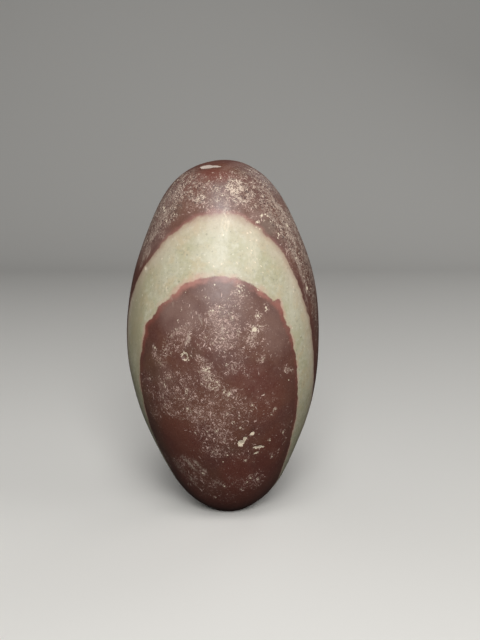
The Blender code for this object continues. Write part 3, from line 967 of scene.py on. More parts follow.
@dataclass(frozen=True)
class RiverWear:
    """The fine wear that a river leaves: low swells, grain and small knocked pits.

    Pits crowd where the rock is bruised, but never closer than their spacing.
    """

    swell_pitch: float = 4.5
    swell_height: float = 0.05
    grain_pitch: float = 1.1
    grain_height: float = 0.022
    pit_spacing: float = 1.15
    pit_radius: float = 0.62
    pit_depth: float = 0.06
    most_pits: float = 4e6
    seed: int = 7

    def sizes(self, finish: bpy.types.Material) -> Inputs:
        """Name the sizes that the geometry tree takes.

        Args:
            finish: The finish that the worn piece keeps.

        Returns:
            The type and value of each, lengths in metres.
        """
        return {
            "Swell Pitch": (NUMBER, self.swell_pitch * MM), "Swell Height": (NUMBER, self.swell_height * MM),
            "Grain Pitch": (NUMBER, self.grain_pitch * MM), "Grain Height": (NUMBER, self.grain_height * MM),
            "Pit Spacing": (NUMBER, self.pit_spacing * MM), "Pit Radius": (NUMBER, self.pit_radius * MM),
            "Pit Depth": (NUMBER, self.pit_depth * MM), "Most Pits": (NUMBER, self.most_pits),
            "Seed": ("NodeSocketInt", self.seed), "Finish": ("NodeSocketMaterial", finish),
        }

    def pits(self, net: Wiring, worn: Socket, free: Socket, size: bpy.types.NodeOutputs) -> Socket:
        """Wire up the knocked pits.

        Args:
            net: The geometry tree's wiring.
            worn: The skin with its swells and grain.
            free: 0 where the stone stands on its flat spot, 1 away from it.
            size: The tree's named sizes.

        Returns:
            How far each place moves along the way out, in metres.
        """
        place = net.add("GeometryNodeInputPosition").outputs[0]
        thick = net.times(net.plus(net.times(net.read_point(Field.BRUISE.value), 0.85), 0.1), free)
        feeds = {
            "Mesh": worn, "Distance Min": size["Pit Spacing"], "Density Max": size["Most Pits"],
            "Density Factor": thick, "Seed": size["Seed"],
        }
        points = net.add("GeometryNodeDistributePointsOnFaces", feeds, distribute_method="POISSON").outputs[0]
        chance = {2: 0.35, 3: 1.0, "Seed": size["Seed"]}
        share = net.add("FunctionNodeRandomValue", chance, data_type="FLOAT").outputs[1]
        noted = {"Geometry": points, "Name": "pit_size", "Value": share}
        points = net.add("GeometryNodeStoreNamedAttribute", noted, data_type="FLOAT").outputs[0]
        near = {"Geometry": points, "Sample Position": place}
        nearest = net.add("GeometryNodeSampleNearest", near, domain="POINT").outputs[0]

        def at_pit(value: Socket, kind: str) -> Socket:
            """Read a value of a kind at the middle of the nearest pit."""
            feeds = {"Geometry": points, "Value": value, "Index": nearest}
            return net.add("GeometryNodeSampleIndex", feeds, data_type=kind, domain="POINT").outputs[0]

        middle, share = at_pit(place, "FLOAT_VECTOR"), at_pit(net.read_point("pit_size"), "FLOAT")
        gap = net.calc("DIVIDE", net.vector("DISTANCE", place, middle), net.times(size["Pit Radius"], share))
        bowl = net.calc("SUBTRACT", 1.0, gap, clamp=True)
        bowl = net.times(bowl, net.minus(2.0, bowl), free)
        return net.times(bowl, size["Pit Depth"], net.times(share, -1.0))

    def tree(self, finish: bpy.types.Material) -> bpy.types.NodeTree:
        """Build the geometry tree.

        Args:
            finish: The finish that the worn piece keeps.

        Returns:
            The tree, with named inputs for its sizes.
        """
        geometry = "NodeSocketGeometry"
        inputs = {"Geometry": (geometry, None), **self.sizes(finish)}
        net, given, made = start_group("river_wear", inputs, {"Geometry": geometry}, "GeometryNodeTree")
        size = given.outputs
        place = net.add("GeometryNodeInputPosition").outputs[0]
        out = net.add("GeometryNodeInputNormal").outputs[0]
        free = net.rest(net.read_point(Field.GROUNDED.value))

        def relief(layer: str) -> Socket:
            """Wire up how far a named layer of relief stands out."""
            lumps = net.minus(net.cloud(place, net.calc("DIVIDE", 1.0, size[f"{layer} Pitch"]))[0], 0.5)
            return net.times(lumps, 2.0, size[f"{layer} Height"])

        def move(surface: Socket, lift: Socket) -> Socket:
            """Move a surface along its way out."""
            shift = {"Geometry": surface, "Offset": net.vector("SCALE", out, scale=lift)}
            return net.add("GeometryNodeSetPosition", shift).outputs[0]

        worn = move(size["Geometry"], net.times(net.plus(relief("Swell"), relief("Grain")), free))
        pitted = move(worn, self.pits(net, worn, free, size))
        real = net.add("GeometryNodeRealizeInstances", {"Geometry": pitted}).outputs[0]
        dressed = {"Geometry": real, "Material": size["Finish"]}
        net.feed(made.inputs[0], net.add("GeometryNodeSetMaterial", dressed).outputs[0])
        return net.tree

    def apply(self, stone: bpy.types.Object, finish: bpy.types.Material) -> None:
        """Wear a piece and leave it a plain mesh, without the modifier.

        Args:
            stone: The piece.
            finish: The finish that the worn piece keeps.
        """
        modifier = stone.modifiers.new("river_wear", "NODES")
        modifier.node_group = self.tree(finish)
        sizes = self.sizes(finish)
        for item in modifier.node_group.interface.items_tree:
            if item.item_type == "SOCKET" and item.in_out == "INPUT" and item.name in sizes:
                modifier[item.identifier] = sizes[item.name][1]
        worn = bpy.data.meshes.new_from_object(stone.evaluated_get(bpy.context.evaluated_depsgraph_get()))
        plain = stone.data
        stone.modifiers.remove(modifier)
        stone.data = worn
        bpy.data.meshes.remove(plain)
        worn.name = stone.name


# ---------------------------------------------------------------------------------------------
# The rock's finish
# ---------------------------------------------------------------------------------------------


def bed_edge_group() -> bpy.types.NodeTree:
    """Build the group that roughens the edge where the pale bed meets the dark rock.

    Returns:
        The group: from a distance in millimetres to a jagged distance and a soft step across it.
    """
    inputs = {
        "Place": (VECTOR, None), "Distance": (NUMBER, 0.0), "Jag": (NUMBER, 0.4), "Blur": (NUMBER, 0.2),
    }
    net, given, made = start_group("bed_edge", inputs, {"Jagged": NUMBER, "Step": NUMBER})
    size = given.outputs
    broad = net.times(net.sway(size["Place"], Lumps(3.6, 1.0, 0.6)), 2.4)
    fine = net.times(net.sway(size["Place"], Lumps(1.2, 2.0, 0.6)), 1.6)
    jagged = net.plus(size["Distance"], net.times(net.plus(broad, fine), size["Jag"]))
    net.feed(made.inputs["Jagged"], jagged)
    net.feed(made.inputs["Step"], net.ramp(jagged, net.times(size["Blur"], -1.0), size["Blur"]))
    return net.tree


def knock_group() -> bpy.types.NodeTree:
    """Build the group for the small crescents, dashes and dots that knocks from other stones leave.

    Returns:
        The group: from a spacing, an amount and the marks' sizes in metres to a mask of marks and
        a mask of the dark rims round them, which are painted shade.
    """
    inputs = {
        "Place": (VECTOR, None), "Out": (VECTOR, None), "Scale": (NUMBER, 600.0), "Amount": (NUMBER, 0.5),
        "Length": (NUMBER, 0.0005), "Width": (NUMBER, 0.00015), "Bend": (NUMBER, 0.8),
    }
    net, given, made = start_group("knocks", inputs, {"Marks": NUMBER, "Rims": NUMBER})
    size = given.outputs
    out = size["Out"]
    cells = net.add("ShaderNodeTexVoronoi", {"Vector": size["Place"], "Scale": size["Scale"]})
    lot = net.split(cells.outputs["Color"])
    offset = net.vector("SUBTRACT", size["Place"], cells.outputs["Position"])
    toss = net.vector("SUBTRACT", cells.outputs["Color"], (0.5, 0.5, 0.5))
    along = net.vector("NORMALIZE", net.vector("CROSS_PRODUCT", out, toss))
    across = net.vector("CROSS_PRODUCT", out, along)
    length = net.times(size["Length"], net.plus(0.35, lot[0]))
    width = net.times(size["Width"], net.plus(0.6, net.times(lot[2], 0.8)))
    far = net.calc("DIVIDE", net.vector("DOT_PRODUCT", offset, along), length)
    wide = net.calc("DIVIDE", net.vector("DOT_PRODUCT", offset, across), width)
    wide = net.minus(wide, net.times(net.minus(lot[2], 0.35), size["Bend"], far, far, 3.0))
    gap = net.calc("SQRT", net.plus(net.times(far, far), net.times(wide, wide)))
    shown = net.ramp(net.minus(size["Amount"], lot[1]), 0.0, 0.12)
    mark = net.ramp(gap, 0.55, 1.1, 1.0, 0.0)
    # Each mark's dark rim is painted shade, standing in for the shadow round its small pit.
    rim = net.minus(net.ramp(gap, 1.1, 2.1, 1.0, 0.0), mark)
    chance = net.calc("FRACT", net.times(lot[0], 7.0))
    power = net.times(shown, net.plus(0.45, net.times(chance, 0.55)))
    net.feed(made.inputs["Marks"], net.times(mark, power))
    net.feed(made.inputs["Rims"], net.times(rim, power))
    return net.tree


def grit_group() -> bpy.types.NodeTree:
    """Build the group for scattered grains and dots.

    Returns:
        The group: from a spacing, an amount and a size to a mask of uneven dots.
    """
    inputs = {
        "Place": (VECTOR, None), "Scale": (NUMBER, 500.0), "Amount": (NUMBER, 0.5), "Size": (NUMBER, 0.3),
        "Warp": (NUMBER, 0.0002),
    }
    net, given, made = start_group("grit", inputs, {"Dots": NUMBER})
    size = given.outputs
    stirred = net.stir(size["Place"], net.times(size["Scale"], 2.3), 2.0, size["Warp"])
    cells = net.add("ShaderNodeTexVoronoi", {"Vector": stirred, "Scale": size["Scale"]})
    lot = net.split(cells.outputs["Color"])
    radius = net.times(size["Size"], net.plus(0.4, net.times(lot[0], 0.6)))
    dot = net.ramp(cells.outputs["Distance"], net.times(radius, 0.6), radius, 1.0, 0.0)
    shown = net.calc("LESS_THAN", lot[1], size["Amount"])
    net.feed(made.inputs["Dots"], net.times(dot, shown))
    return net.tree


@dataclass(frozen=True)
class Knocks:
    """One layer of knock marks: cells to the metre, and a mark's length, width (both in metres) and bend."""

    scale: float
    length: float
    width: float
    bend: float


@dataclass(frozen=True)
class Ground:
    """What all parts of the finish read: places and heights, the way out and the shared noise."""

    net: Wiring
    place: Socket
    height: Socket
    out: Socket
    stirred: Socket
    patch: Socket
    clump: Socket
    fine: Socket
    knocks: bpy.types.NodeTree

    def strike(self, layer: Knocks, amount: Socket) -> bpy.types.NodeOutputs:
        """Wire up an amount of one layer of knock marks: its Marks, and the Rims round them that hold painted
        shade.
        """
        sizes = {"Scale": layer.scale, "Length": layer.length, "Width": layer.width, "Bend": layer.bend}
        return self.net.use(self.knocks, Place=self.stirred, Out=self.out, Amount=amount, **sizes).outputs


@dataclass(frozen=True)
class BandedRock:
    """The stone's one finish: dark jasper, its pale bed, their edges, the wear on all of it, and some painted
    shade, sheen and highlight.
    """

    brown: Colour = shade(107, 66, 50)
    wine: Colour = shade(95, 54, 45)
    red: Colour = shade(108, 48, 36)
    olive: Colour = shade(96, 76, 56)
    # Deep red-brown of the dark pores and gaps in the frost; also painted shade towards the bottom and round
    # the knock marks.
    deep_red_and_painted_shade: Colour = shade(66, 30, 25)
    haze: Colour = shade(154, 120, 104)
    haze_low: Colour = shade(144, 98, 84)
    # Grey-mauve of the dusty coating and of painted sheen.
    film_and_sheen: Colour = shade(152, 124, 114)
    mark: Colour = shade(232, 198, 184)
    cream: Colour = shade(246, 230, 202)
    pale: Colour = shade(200, 193, 165)
    pale_green: Colour = shade(190, 184, 150)
    pale_tan: Colour = shade(204, 188, 152)
    # Drab, darker pale of the bed's own patches and of painted shade on its edges.
    pale_dull_and_shade: Colour = shade(168, 156, 122)
    # Light cream-grey of the bed's light clumps and rubbed places, and of its painted highlight.
    pale_light: Colour = shade(222, 217, 194)
    pale_pink: Colour = shade(206, 180, 158)
    rubbed: Colour = shade(186, 164, 148)
    crown: Colour = shade(196, 182, 170)
    vein: Colour = shade(128, 124, 98)
    fringe: Colour = shade(154, 88, 74)
    fringe_high: Colour = shade(190, 130, 116)
    blush: Colour = shade(210, 166, 146)
    smear: Colour = shade(158, 118, 102)
    frost: Colour = shade(146, 120, 103)
    frost_light: Colour = shade(236, 214, 193)
    frost_thick: Colour = shade(204, 180, 158)
    roughness: float = 0.46
    large: Knocks = Knocks(620.0, 0.66 * MM, 0.16 * MM, 1.2)
    small: Knocks = Knocks(960.0, 0.46 * MM, 0.13 * MM, 1.0)
    specks: Knocks = Knocks(1700.0, 0.18 * MM, 0.13 * MM, 0.2)
    faint: Knocks = Knocks(1250.0, 0.36 * MM, 0.12 * MM, 1.0)
    rime: Knocks = Knocks(1150.0, 0.34 * MM, 0.15 * MM, 0.8)
    patches: Lumps = Lumps(3.4)
    clumps: Lumps = Lumps(1.2, 2.0, 0.55)
    fine: Lumps = Lumps(0.4, 3.0, 0.65)
    clouds: Lumps = Lumps(9.0, 3.0, 0.55)
    creases: Lumps = Lumps(0.8, 1.5)
    grain: Lumps = Lumps(0.34, 2.0, 0.6)
    scratches: Lumps = Lumps(0.5, 2.0, 0.6)
    cream_patches: Lumps = Lumps(1.8, 1.0)
    frost_patches: Lumps = Lumps(2.4, 3.0, 0.6)
    frost_dust: Lumps = Lumps(0.27, 2.0, 0.6)
    frost_gaps: Lumps = Lumps(0.52, 2.0, 0.55)
    frost_crust: Lumps = Lumps(0.6, 2.0, 0.6)
    vein_creases: Lumps = Lumps(2.381, 0.8, 0.5, 0.35)
    vein_gaps: Lumps = Lumps(2.976, 0.7)
    vein_strength: Lumps = Lumps(4.762, 1.0)
    bed_drifts: Lumps = Lumps(6.5, 3.0, 0.55)
    bed_clouds: Lumps = Lumps(4.0)
    bed_clumps: Lumps = Lumps(1.1, 3.0, 0.65)
    bed_freckles: Lumps = Lumps(0.55, 3.0, 0.7)
    edge_stains: Lumps = Lumps(5.0)
    rubbing: Lumps = Lumps(0.6, 3.0, 0.65)
    ragged_rims: Lumps = Lumps(0.6, 3.0, 0.6)
    flaked_rims: Lumps = Lumps(0.95, 3.0, 0.55)
    ring_breaks: Lumps = Lumps(1.0, 1.0)

    def ground(self, net: Wiring) -> Ground:
        """Wire up what all parts of the finish read.

        Args:
            net: The finish's wiring.

        Returns:
            The ground.
        """
        place = net.add("ShaderNodeTexCoord").outputs["Object"]
        middle = net.vector("SUBTRACT", place, (0.0, 0.0, CAD_BOX[1][2] / 2))
        return Ground(
            net=net,
            place=place,
            height=net.split(place)[2],
            out=net.vector("NORMALIZE", net.vector("MULTIPLY", middle, (1.0, 1.0, 0.25))),
            stirred=net.stir(place, scale=1400.0, detail=1.0, reach=0.4 * MM),
            patch=net.noise(place, self.patches),
            clump=net.noise(place, self.clumps),
            fine=net.noise(place, self.fine),
            knocks=knock_group(),
        )

    def dark_rock(self, ground: Ground) -> Socket:
        """Colour the unworn dark rock, from wine to brown, with redder, greener, hazy and sheened places,
        painted darker towards the bottom as painted shade.

        Args:
            ground: What the finish reads.

        Returns:
            The colour.
        """
        net = ground.net
        cloud = net.noise(ground.place, self.clouds)
        dark = net.blend(net.ramp(cloud, 0.35, 0.65), self.wine, self.brown)
        dark = net.blend(net.times(net.read(Field.RED), 0.7), dark, self.red)
        dark = net.blend(net.times(net.read(Field.OLIVE), 0.36), dark, self.olive)
        # Painted shade: the rock is painted darker towards the bottom. Its haze also turns darker and redder
        # there.
        dark = net.blend(net.ramp(ground.height, 4 * MM, 42 * MM, 0.42, 0.0), dark, self.deep_red_and_painted_shade)
        haze = net.blend(net.ramp(ground.height, 10 * MM, 45 * MM), self.haze_low, self.haze)
        dark = net.blend(net.ramp(ground.fine, 0.35, 0.75, 0.0, 0.2), dark, haze)
        # Painted sheen: a grey-mauve coating, partly the rock's own, laid where sheen and rim reflection
        # fall.
        film_and_sheen = net.times(net.read(Field.FILM_AND_SHEEN), net.ramp(cloud, 0.3, 0.6, 0.3, 0.6))
        dark = net.blend(film_and_sheen, dark, self.film_and_sheen)
        dusty = net.times(
            net.ramp(ground.clump, 0.36, 0.62, 0.35, 1.0), net.ramp(ground.patch, 0.34, 0.66, 0.35, 1.0)
        )
        return net.blend(net.times(dusty, net.read(Field.BRUISE), 0.42), dark, haze)

    def threads(self, ground: Ground, local: Socket) -> Socket:
        """Draw broken threads that wander between the knock marks.

        Args:
            ground: What the finish reads.
            local: How bruised the rock is.

        Returns:
            A mask of the threads.
        """
        net = ground.net
        crease = net.calc("ABSOLUTE", net.sway(ground.place, self.creases))
        broken = net.split(net.cloud(ground.place, scale=1150.0, detail=1.0)[1])[1]
        return net.times(
            net.ramp(crease, 0.01, 0.035, 1.0, 0.0), net.ramp(broken, 0.49, 0.58), net.ramp(local, 0.12, 0.6)
        )

    def bruise(self, ground: Ground, dark: Socket) -> tuple[Socket, Socket]:
        """Strike the dark rock with pale knock marks, thick where it is bruised and scuffed, with painted
        shade round them.

        Args:
            ground: What the finish reads.
            dark: The colour of the unworn rock.

        Returns:
            The colour, and a mask of what is struck.
        """
        net = ground.net
        bruise, scuff_and_highlight = net.read(Field.BRUISE), net.read(Field.SCUFF_AND_HIGHLIGHT)
        local = net.times(
            bruise, net.ramp(ground.patch, 0.36, 0.6, 0.4, 1.1), net.ramp(ground.clump, 0.38, 0.6, 0.45, 1.2)
        )
        amount = net.plus(local, net.times(scuff_and_highlight, 0.5))
        large = ground.strike(self.large, net.times(amount, 0.85))
        small = ground.strike(self.small, net.times(amount, 0.8))
        specks = ground.strike(self.specks, net.times(amount, 0.62))
        faint = ground.strike(self.faint, net.plus(net.times(bruise, 0.8), 0.1))
        grain = net.plus(net.noise(ground.place, self.grain), net.times(net.minus(local, 0.5), 0.16))
        hot = net.times(scuff_and_highlight, net.ramp(net.noise(ground.place, self.scratches), 0.5, 0.62))
        struck = net.most(
            large["Marks"],
            net.times(small["Marks"], 0.85),
            net.times(specks["Marks"], 0.75),
            net.times(faint["Marks"], 0.3),
            net.times(net.ramp(grain, 0.5, 0.62), bruise, 0.09),
            net.times(self.threads(ground, local), 0.75),
            net.times(hot, 0.8),
        )
        # Painted shade round the knock marks.
        painted_hollow_shade = net.most(large["Rims"], small["Rims"], net.times(faint["Rims"], 0.6))
        dark = net.blend(net.times(painted_hollow_shade, 0.6), dark, self.deep_red_and_painted_shade)
        creamy = net.most(hot, net.ramp(net.noise(ground.place, self.cream_patches), 0.56, 0.7, 0.0, 0.7))
        mark = net.blend(creamy, self.mark, self.cream)
        return net.blend(net.times(struck, 0.95), dark, mark), struck

    def frost_over(self, ground: Ground, dark: Socket) -> tuple[Socket, Socket]:
        """Frost the weathered rock round the crown, with pores, gaps and a rime of fine marks.

        Args:
            ground: What the finish reads.
            dark: The colour of the dark rock.

        Returns:
            The colour, and how frosted each place is.
        """
        net, place = ground.net, ground.place
        patches = net.ramp(net.noise(place, self.frost_patches), 0.36, 0.58, 0.4, 1.0)
        cover = net.times(net.read(Field.FROST), patches)
        thick = net.times(cover, net.ramp(ground.clump, 0.38, 0.62, 0.6, 1.15))
        dark = net.blend(net.times(thick, 0.5), dark, self.frost)
        dark = net.blend(net.ramp(thick, 0.62, 1.0, 0.0, 0.6), dark, self.frost_thick)
        dust = net.noise(place, self.frost_dust)
        pores = net.times(net.ramp(dust, 0.36, 0.5, 1.0, 0.0), net.ramp(cover, 0.04, 0.6, 0.0, 0.8))
        dark = net.blend(pores, dark, self.deep_red_and_painted_shade)
        gaps = net.ramp(net.noise(place, self.frost_gaps), 0.37, 0.48, 1.0, 0.0)
        dark = net.blend(net.times(gaps, net.ramp(cover, 0.04, 0.45, 0.0, 0.95)), dark, self.deep_red_and_painted_shade)
        rime = net.most(
            net.times(ground.strike(self.rime, net.times(thick, 0.95))["Marks"], 0.85),
            net.times(net.ramp(dust, 0.51, 0.63), net.ramp(thick, 0.04, 0.7, 0.0, 0.85)),
            net.times(cover, net.ramp(net.noise(place, self.frost_crust), 0.56, 0.66, 0.0, 0.55)),
        )
        return net.blend(rime, dark, self.frost_light), cover

    def veins(self, ground: Ground) -> Socket:
        """Draw the short hair-thin veins of the pale bed.

        Args:
            ground: What the finish reads.

        Returns:
            A mask of the veins.
        """
        net = ground.net
        drawn = net.draw_out(ground.place, 0.35)
        line = net.ramp(net.calc("ABSOLUTE", net.sway(drawn, self.vein_creases)), 0.0105, 0.03, 1.0, 0.0)
        elsewhere = net.vector("ADD", drawn, (0.037, 0.011, 0.023))
        shown = net.ramp(net.noise(elsewhere, self.vein_gaps), 0.596, 0.666)
        return net.times(line, shown, net.ramp(net.noise(drawn, self.vein_strength), 0.38, 0.62, 0.35, 1.0))

    def pale_rock(self, ground: Ground) -> Socket:
        """Colour the pale bed: its tints, veins, flecks, sparks and rubbed places, with a painted highlight
        on its middle and painted shade on its sides.

        Args:
            ground: What the finish reads.

        Returns:
            The colour.
        """
        net, place = ground.net, ground.place
        scuff_and_highlight = net.read(Field.SCUFF_AND_HIGHLIGHT)
        grit = grit_group()
        drift, cloud, clump, freckle = (
            net.noise(place, lumps)
            for lumps in (self.bed_drifts, self.bed_clouds, self.bed_clumps, self.bed_freckles)
        )
        pale = net.blend(net.ramp(drift, 0.4, 0.6, 0.0, 0.95), self.pale, self.pale_green)
        pale = net.blend(net.ramp(cloud, 0.5, 0.68, 0.0, 0.7), pale, self.pale_tan)
        pale = net.blend(net.ramp(clump, 0.46, 0.7, 0.0, 0.6), pale, self.pale_light)
        pale = net.blend(net.ramp(freckle, 0.5, 0.68, 0.0, 0.4), pale, self.vein)
        # Drab patches, and painted shade on the bed's far edges and sides.
        pale = net.blend(net.times(net.read(Field.DULL_AND_SHADE), 0.6), pale, self.pale_dull_and_shade)
        pale = net.blend(net.times(self.veins(ground), 0.3), pale, self.vein)
        # Rubbed places turn lighter; in the middle of the bed this is a painted highlight.
        pale = net.blend(net.times(scuff_and_highlight, 0.6), pale, self.pale_light)
        flecks = net.use(grit, Place=place, Scale=560.0, Amount=0.45, Size=0.24, Warp=0.5 * MM).outputs[0]
        pale = net.blend(net.times(flecks, 0.45), pale, self.vein)
        amount = net.plus(0.4, net.times(scuff_and_highlight, 0.4))
        sparks = net.use(grit, Place=place, Scale=800.0, Amount=amount, Size=0.3, Warp=0.4 * MM).outputs[0]
        spark = net.blend(net.ramp(scuff_and_highlight, 0.1, 0.5), self.pale_light, self.cream)
        return net.blend(net.times(sparks, net.ramp(scuff_and_highlight, 0.0, 0.5, 0.6, 0.95)), pale, spark)

    def stain_edges(
        self, ground: Ground, dark: Socket, pale: Socket, front: Socket, back: Socket
    ) -> tuple[Socket, Socket]:
        """Stain both rocks along the edges where they meet.

        Args:
            ground: What the finish reads.
            dark: The colour of the dark rock.
            pale: The colour of the pale bed.
            front: How far a place lies behind the bed's front face, in millimetres.
            back: How far it lies behind the bed's back face.

        Returns:
            The stained colours of the dark rock and of the pale bed.
        """
        net, height = ground.net, ground.height
        here = net.noise(ground.place, self.edge_stains)
        rust = net.times(net.ramp(front, -1.2, -0.25), net.ramp(front, 0.1, 0.35, 1.0, 0.0))
        rust = net.times(
            rust, net.ramp(here, 0.36, 0.6, 0.3, 1.0), net.ramp(height, 36 * MM, 66 * MM, 0.25, 1.0), 0.8
        )
        fringe = net.blend(net.ramp(height, 58 * MM, 70 * MM), self.fringe, self.fringe_high)
        dark = net.blend(rust, dark, fringe)
        warm = net.times(net.ramp(front, 0.15, 0.95, 1.0, 0.0), net.ramp(here, 0.42, 0.62, 0.2, 0.9), 0.75)
        pale = net.blend(warm, pale, self.blush)
        pale = net.blend(net.ramp(back, -4.5, -0.8, 0.0, 0.38), pale, self.pale_pink)
        pale = net.blend(net.ramp(back, -1.4, 0.0, 0.0, 0.5), pale, self.smear)
        halo = net.times(net.ramp(back, 0.1, 1.1, 1.0, 0.0), net.ramp(height, 70 * MM, 87 * MM, 0.0, 0.34))
        return net.blend(halo, dark, self.fringe_high), pale

    def rub(self, ground: Ground, rock: Socket, in_band: Socket) -> Socket:
        """Rub streaks into the rock.

        Args:
            ground: What the finish reads.
            rock: The rock's colour.
            in_band: 1 in the pale bed and 0 outside it.

        Returns:
            The colour.
        """
        net = ground.net
        drawn = net.noise(net.draw_out(ground.place, 0.4), self.rubbing)
        rubbed = net.times(net.read(Field.STREAK), net.ramp(drawn, 0.43, 0.57, 0.04, 1.25))
        streak = net.blend(in_band, self.rubbed, self.cream)
        return net.blend(net.calc("MULTIPLY", rubbed, 0.9, clamp=True), rock, streak)

    def chip(self, ground: Ground, rock: Socket) -> tuple[Socket, Socket]:
        """Show the fresh, creamy rock in the chips, the dots and the ring pit's rim.

        Args:
            ground: What the finish reads.
            rock: The rock's colour.

        Returns:
            The colour, and a mask of the chips.
        """
        net, place = ground.net, ground.place
        ragged, flaked = net.sway(place, self.ragged_rims), net.sway(place, self.flaked_rims)
        chip = net.ramp(net.plus(net.read(Field.CHIP), net.times(flaked, 0.9)), 0.36, 0.46)
        fresh = net.blend(net.ramp(ground.height, 90 * MM, 95 * MM), self.cream, self.crown)
        fresh = net.blend(net.ramp(ground.clump, 0.45, 0.65, 0.0, 0.4), fresh, self.rubbed)
        rock = net.blend(net.times(chip, 0.88), rock, fresh)
        dot = net.ramp(net.plus(net.read(Field.DOT), net.times(ragged, 0.5)), 0.5, 0.74)
        rock = net.blend(net.times(dot, 0.9), rock, self.cream)
        near = net.plus(net.read(Field.RING), net.times(ragged, 0.7))
        ring = net.times(
            net.ramp(near, 0.34, 0.46), net.ramp(near, 0.52, 0.66, 1.0, 0.0),
            net.ramp(net.noise(place, self.ring_breaks), 0.4, 0.55, 0.1, 1.0), 0.85,
        )
        return net.blend(ring, rock, self.cream), chip

    def build(self) -> bpy.types.Material:
        """Build the finish.

        Returns:
            The material.
        """
        material = bpy.data.materials.new("banded_rock_finish")
        material.use_nodes = True
        net = Wiring(material.node_tree)
        shader = material.node_tree.nodes["Principled BSDF"]
        ground, edges = self.ground(net), bed_edge_group()
        to_front, to_back, blur = map(net.read, (Field.BED_FRONT, Field.BED_BACK, Field.BED_BLUR))
        front = net.use(edges, Place=ground.place, Distance=to_front, Jag=0.42, Blur=0.16).outputs
        back = net.use(edges, Place=ground.place, Distance=to_back, Jag=0.5, Blur=blur).outputs
        in_band = net.times(front["Step"], net.rest(back["Step"]))

        dark, struck = self.bruise(ground, self.dark_rock(ground))
        dark, cover = self.frost_over(ground, dark)
        pale = self.pale_rock(ground)
        dark, pale = self.stain_edges(ground, dark, pale, front["Jagged"], back["Jagged"])
        rock = self.rub(ground, net.blend(in_band, dark, pale), in_band)
        rock, chip = self.chip(ground, rock)
        net.feed(shader.inputs["Base Color"], rock)

        duller = net.times(net.most(struck, chip), 0.22)
        uneven = net.times(net.minus(ground.patch, 0.5), 0.25)
        rough = net.plus(self.roughness, net.times(in_band, 0.1), uneven, duller, net.times(cover, 0.12))
        net.feed(shader.inputs["Roughness"], rough)
        relief = net.plus(net.times(ground.fine, 0.5), net.times(struck, -0.5), net.times(chip, -0.6))
        bump = net.add("ShaderNodeBump", {"Strength": 0.5, "Distance": 0.05 * MM, "Height": relief})
        net.feed(shader.inputs["Normal"], bump.outputs[0])
        shader.inputs["Metallic"].default_value = 0.0
        shader.inputs["IOR"].default_value = 1.5
        shader.inputs["Specular IOR Level"].default_value = 1.0
        return material


# ---------------------------------------------------------------------------------------------
# The studio
# ---------------------------------------------------------------------------------------------


@dataclass(frozen=True)
class Softbox:
    """A soft studio light: where it stands, its width and height, its power and what it faces."""

    name: str
    place: tuple[float, float, float]
    width: float
    height: float
    power: float
    aim: tuple[float, float, float] = (0.0, 0.0, 0.05)

    def build(self) -> bpy.types.Object:
        """Set the light up, facing its aim.

        Returns:
            The light.
        """
        data = bpy.data.lights.new(self.name, "AREA")
        data.shape = "RECTANGLE"
        data.size, data.size_y = self.width, self.height
        data.energy = self.power
        light = bpy.data.objects.new(self.name, data)
        light.location = self.place
        light.rotation_euler = (Vector(self.aim) - Vector(self.place)).to_track_quat("-Z", "Y").to_euler()
        bpy.context.scene.collection.objects.link(light)
        return light


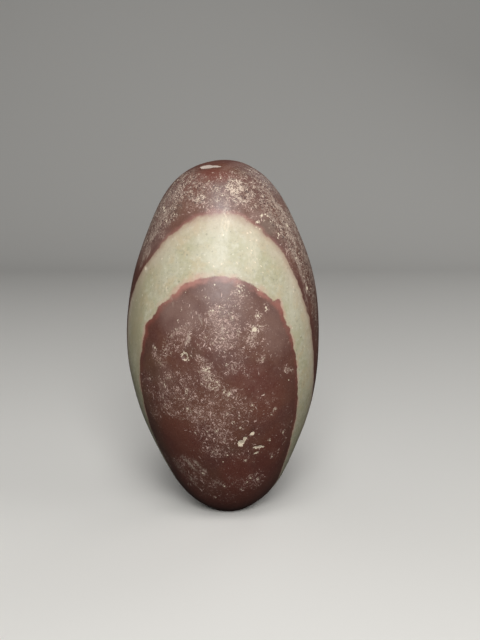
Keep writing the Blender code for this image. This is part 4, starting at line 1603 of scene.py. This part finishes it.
@dataclass(frozen=True)
class Studio:
    """The pale floor that sweeps up behind the stone, the lights, the room's dim light and the camera."""

    floor_half: float = 1.6
    wall_at: float = 0.9
    bend: float = 0.35
    bend_steps: int = 24
    wall_top: float = 1.4
    floor_colour: Colour = shade(232, 230, 225)
    floor_bounce: Colour = shade(56, 56, 55)
    room_light: float = 0.02
    sight: Sight = Sight()
    lights: tuple[Softbox, ...] = (
        Softbox("key_softbox", (0.03, -0.65, 0.43), 0.3, 0.3, 4.1),
        Softbox("low_softbox", (-0.08, -0.7, 0.28), 0.3, 0.3, 0.35),
        Softbox("top_softbox", (0.0, -0.375, 0.7), 0.3, 0.3, 1.6),
        Softbox("right_softbox", (0.627, -0.168, 0.425), 0.5, 0.5, 0.75),
        Softbox("left_softbox", (-0.627, -0.168, 0.425), 0.5, 0.5, 0.22),
        Softbox("rim_softbox", (0.36, 0.5, 0.5), 0.3, 0.4, 0.5),
        Softbox("back_softbox", (-0.5, 0.29, 0.53), 0.5, 0.5, 0.35),
    )

    def floor(self) -> bpy.types.Object:
        """Lay the floor and sweep it up behind the stone.

        Returns:
            The floor.
        """
        bend_at = self.wall_at - self.bend
        profile = [(-self.floor_half, 0.0), (bend_at, 0.0)]
        for step in range(1, self.bend_steps + 1):
            angle = radians(90 * step / self.bend_steps)
            profile.append((bend_at + self.bend * sin(angle), self.bend * (1 - cos(angle))))
        profile.append((self.wall_at, self.wall_top))
        bm = bmesh.new()
        rows = [[bm.verts.new((side * self.floor_half, y, z)) for side in (-1, 1)] for y, z in profile]
        for low, high in zip(rows, rows[1:]):
            bm.faces.new((low[0], low[1], high[1], high[0]))
        mesh = bpy.data.meshes.new("floor")
        bm.to_mesh(mesh)
        bm.free()
        mesh.shade_smooth()
        mesh.materials.append(self.floor_finish())
        floor = bpy.data.objects.new("floor", mesh)
        bpy.context.scene.collection.objects.link(floor)
        return floor

    def floor_finish(self) -> bpy.types.Material:
        """Mix the floor's plain matt finish, pale to look at but sparing with the light it throws back.

        Returns:
            The material.
        """
        material = bpy.data.materials.new("pale_floor")
        material.use_nodes = True
        net = Wiring(material.node_tree)
        shader = material.node_tree.nodes["Principled BSDF"]
        seen = net.add("ShaderNodeLightPath").outputs["Is Camera Ray"]
        net.feed(shader.inputs["Base Color"], net.blend(seen, self.floor_bounce, self.floor_colour))
        shader.inputs["Roughness"].default_value = 0.9
        shader.inputs["Specular IOR Level"].default_value = 0.2
        return material

    def room(self) -> None:
        """Fill the room with dim, even light and show colours as they are."""
        scene = bpy.context.scene
        world = bpy.data.worlds.new("room")
        world.use_nodes = True
        backdrop = world.node_tree.nodes["Background"]
        backdrop.inputs["Color"].default_value = (1.0, 1.0, 1.0, 1.0)
        backdrop.inputs["Strength"].default_value = self.room_light
        scene.world = world
        scene.view_settings.view_transform = "Standard"

    def camera(self) -> bpy.types.Object:
        """Stand the camera in front of the stone, a little above it.

        Returns:
            The camera.
        """
        data = bpy.data.cameras.new("camera")
        data.sensor_fit = "AUTO"
        data.sensor_width = self.sight.sensor
        data.lens = self.sight.lens
        data.clip_start = 0.01
        camera = bpy.data.objects.new("camera", data)
        camera.location = self.sight.eye
        camera.rotation_euler = self.sight.facing().to_euler()
        bpy.context.scene.collection.objects.link(camera)
        bpy.context.scene.camera = camera
        return camera

    def build(self) -> None:
        """Set the whole studio up."""
        self.floor()
        for light in self.lights:
            light.build()
        self.room()
        self.camera()


def main() -> None:
    """Build the stone and the studio in order, and report each piece."""
    logging.basicConfig(level=logging.INFO, format="%(name)s: %(message)s")
    stone = StoneSkin().build(RiverWear(), BandedRock().build())
    LOG.info("%s: %d points, %d faces", stone.name, len(stone.data.vertices), len(stone.data.polygons))
    studio = Studio()
    studio.build()
    LOG.info("studio: floor, %d lights and camera", len(studio.lights))


if __name__ == "__main__":
    main()
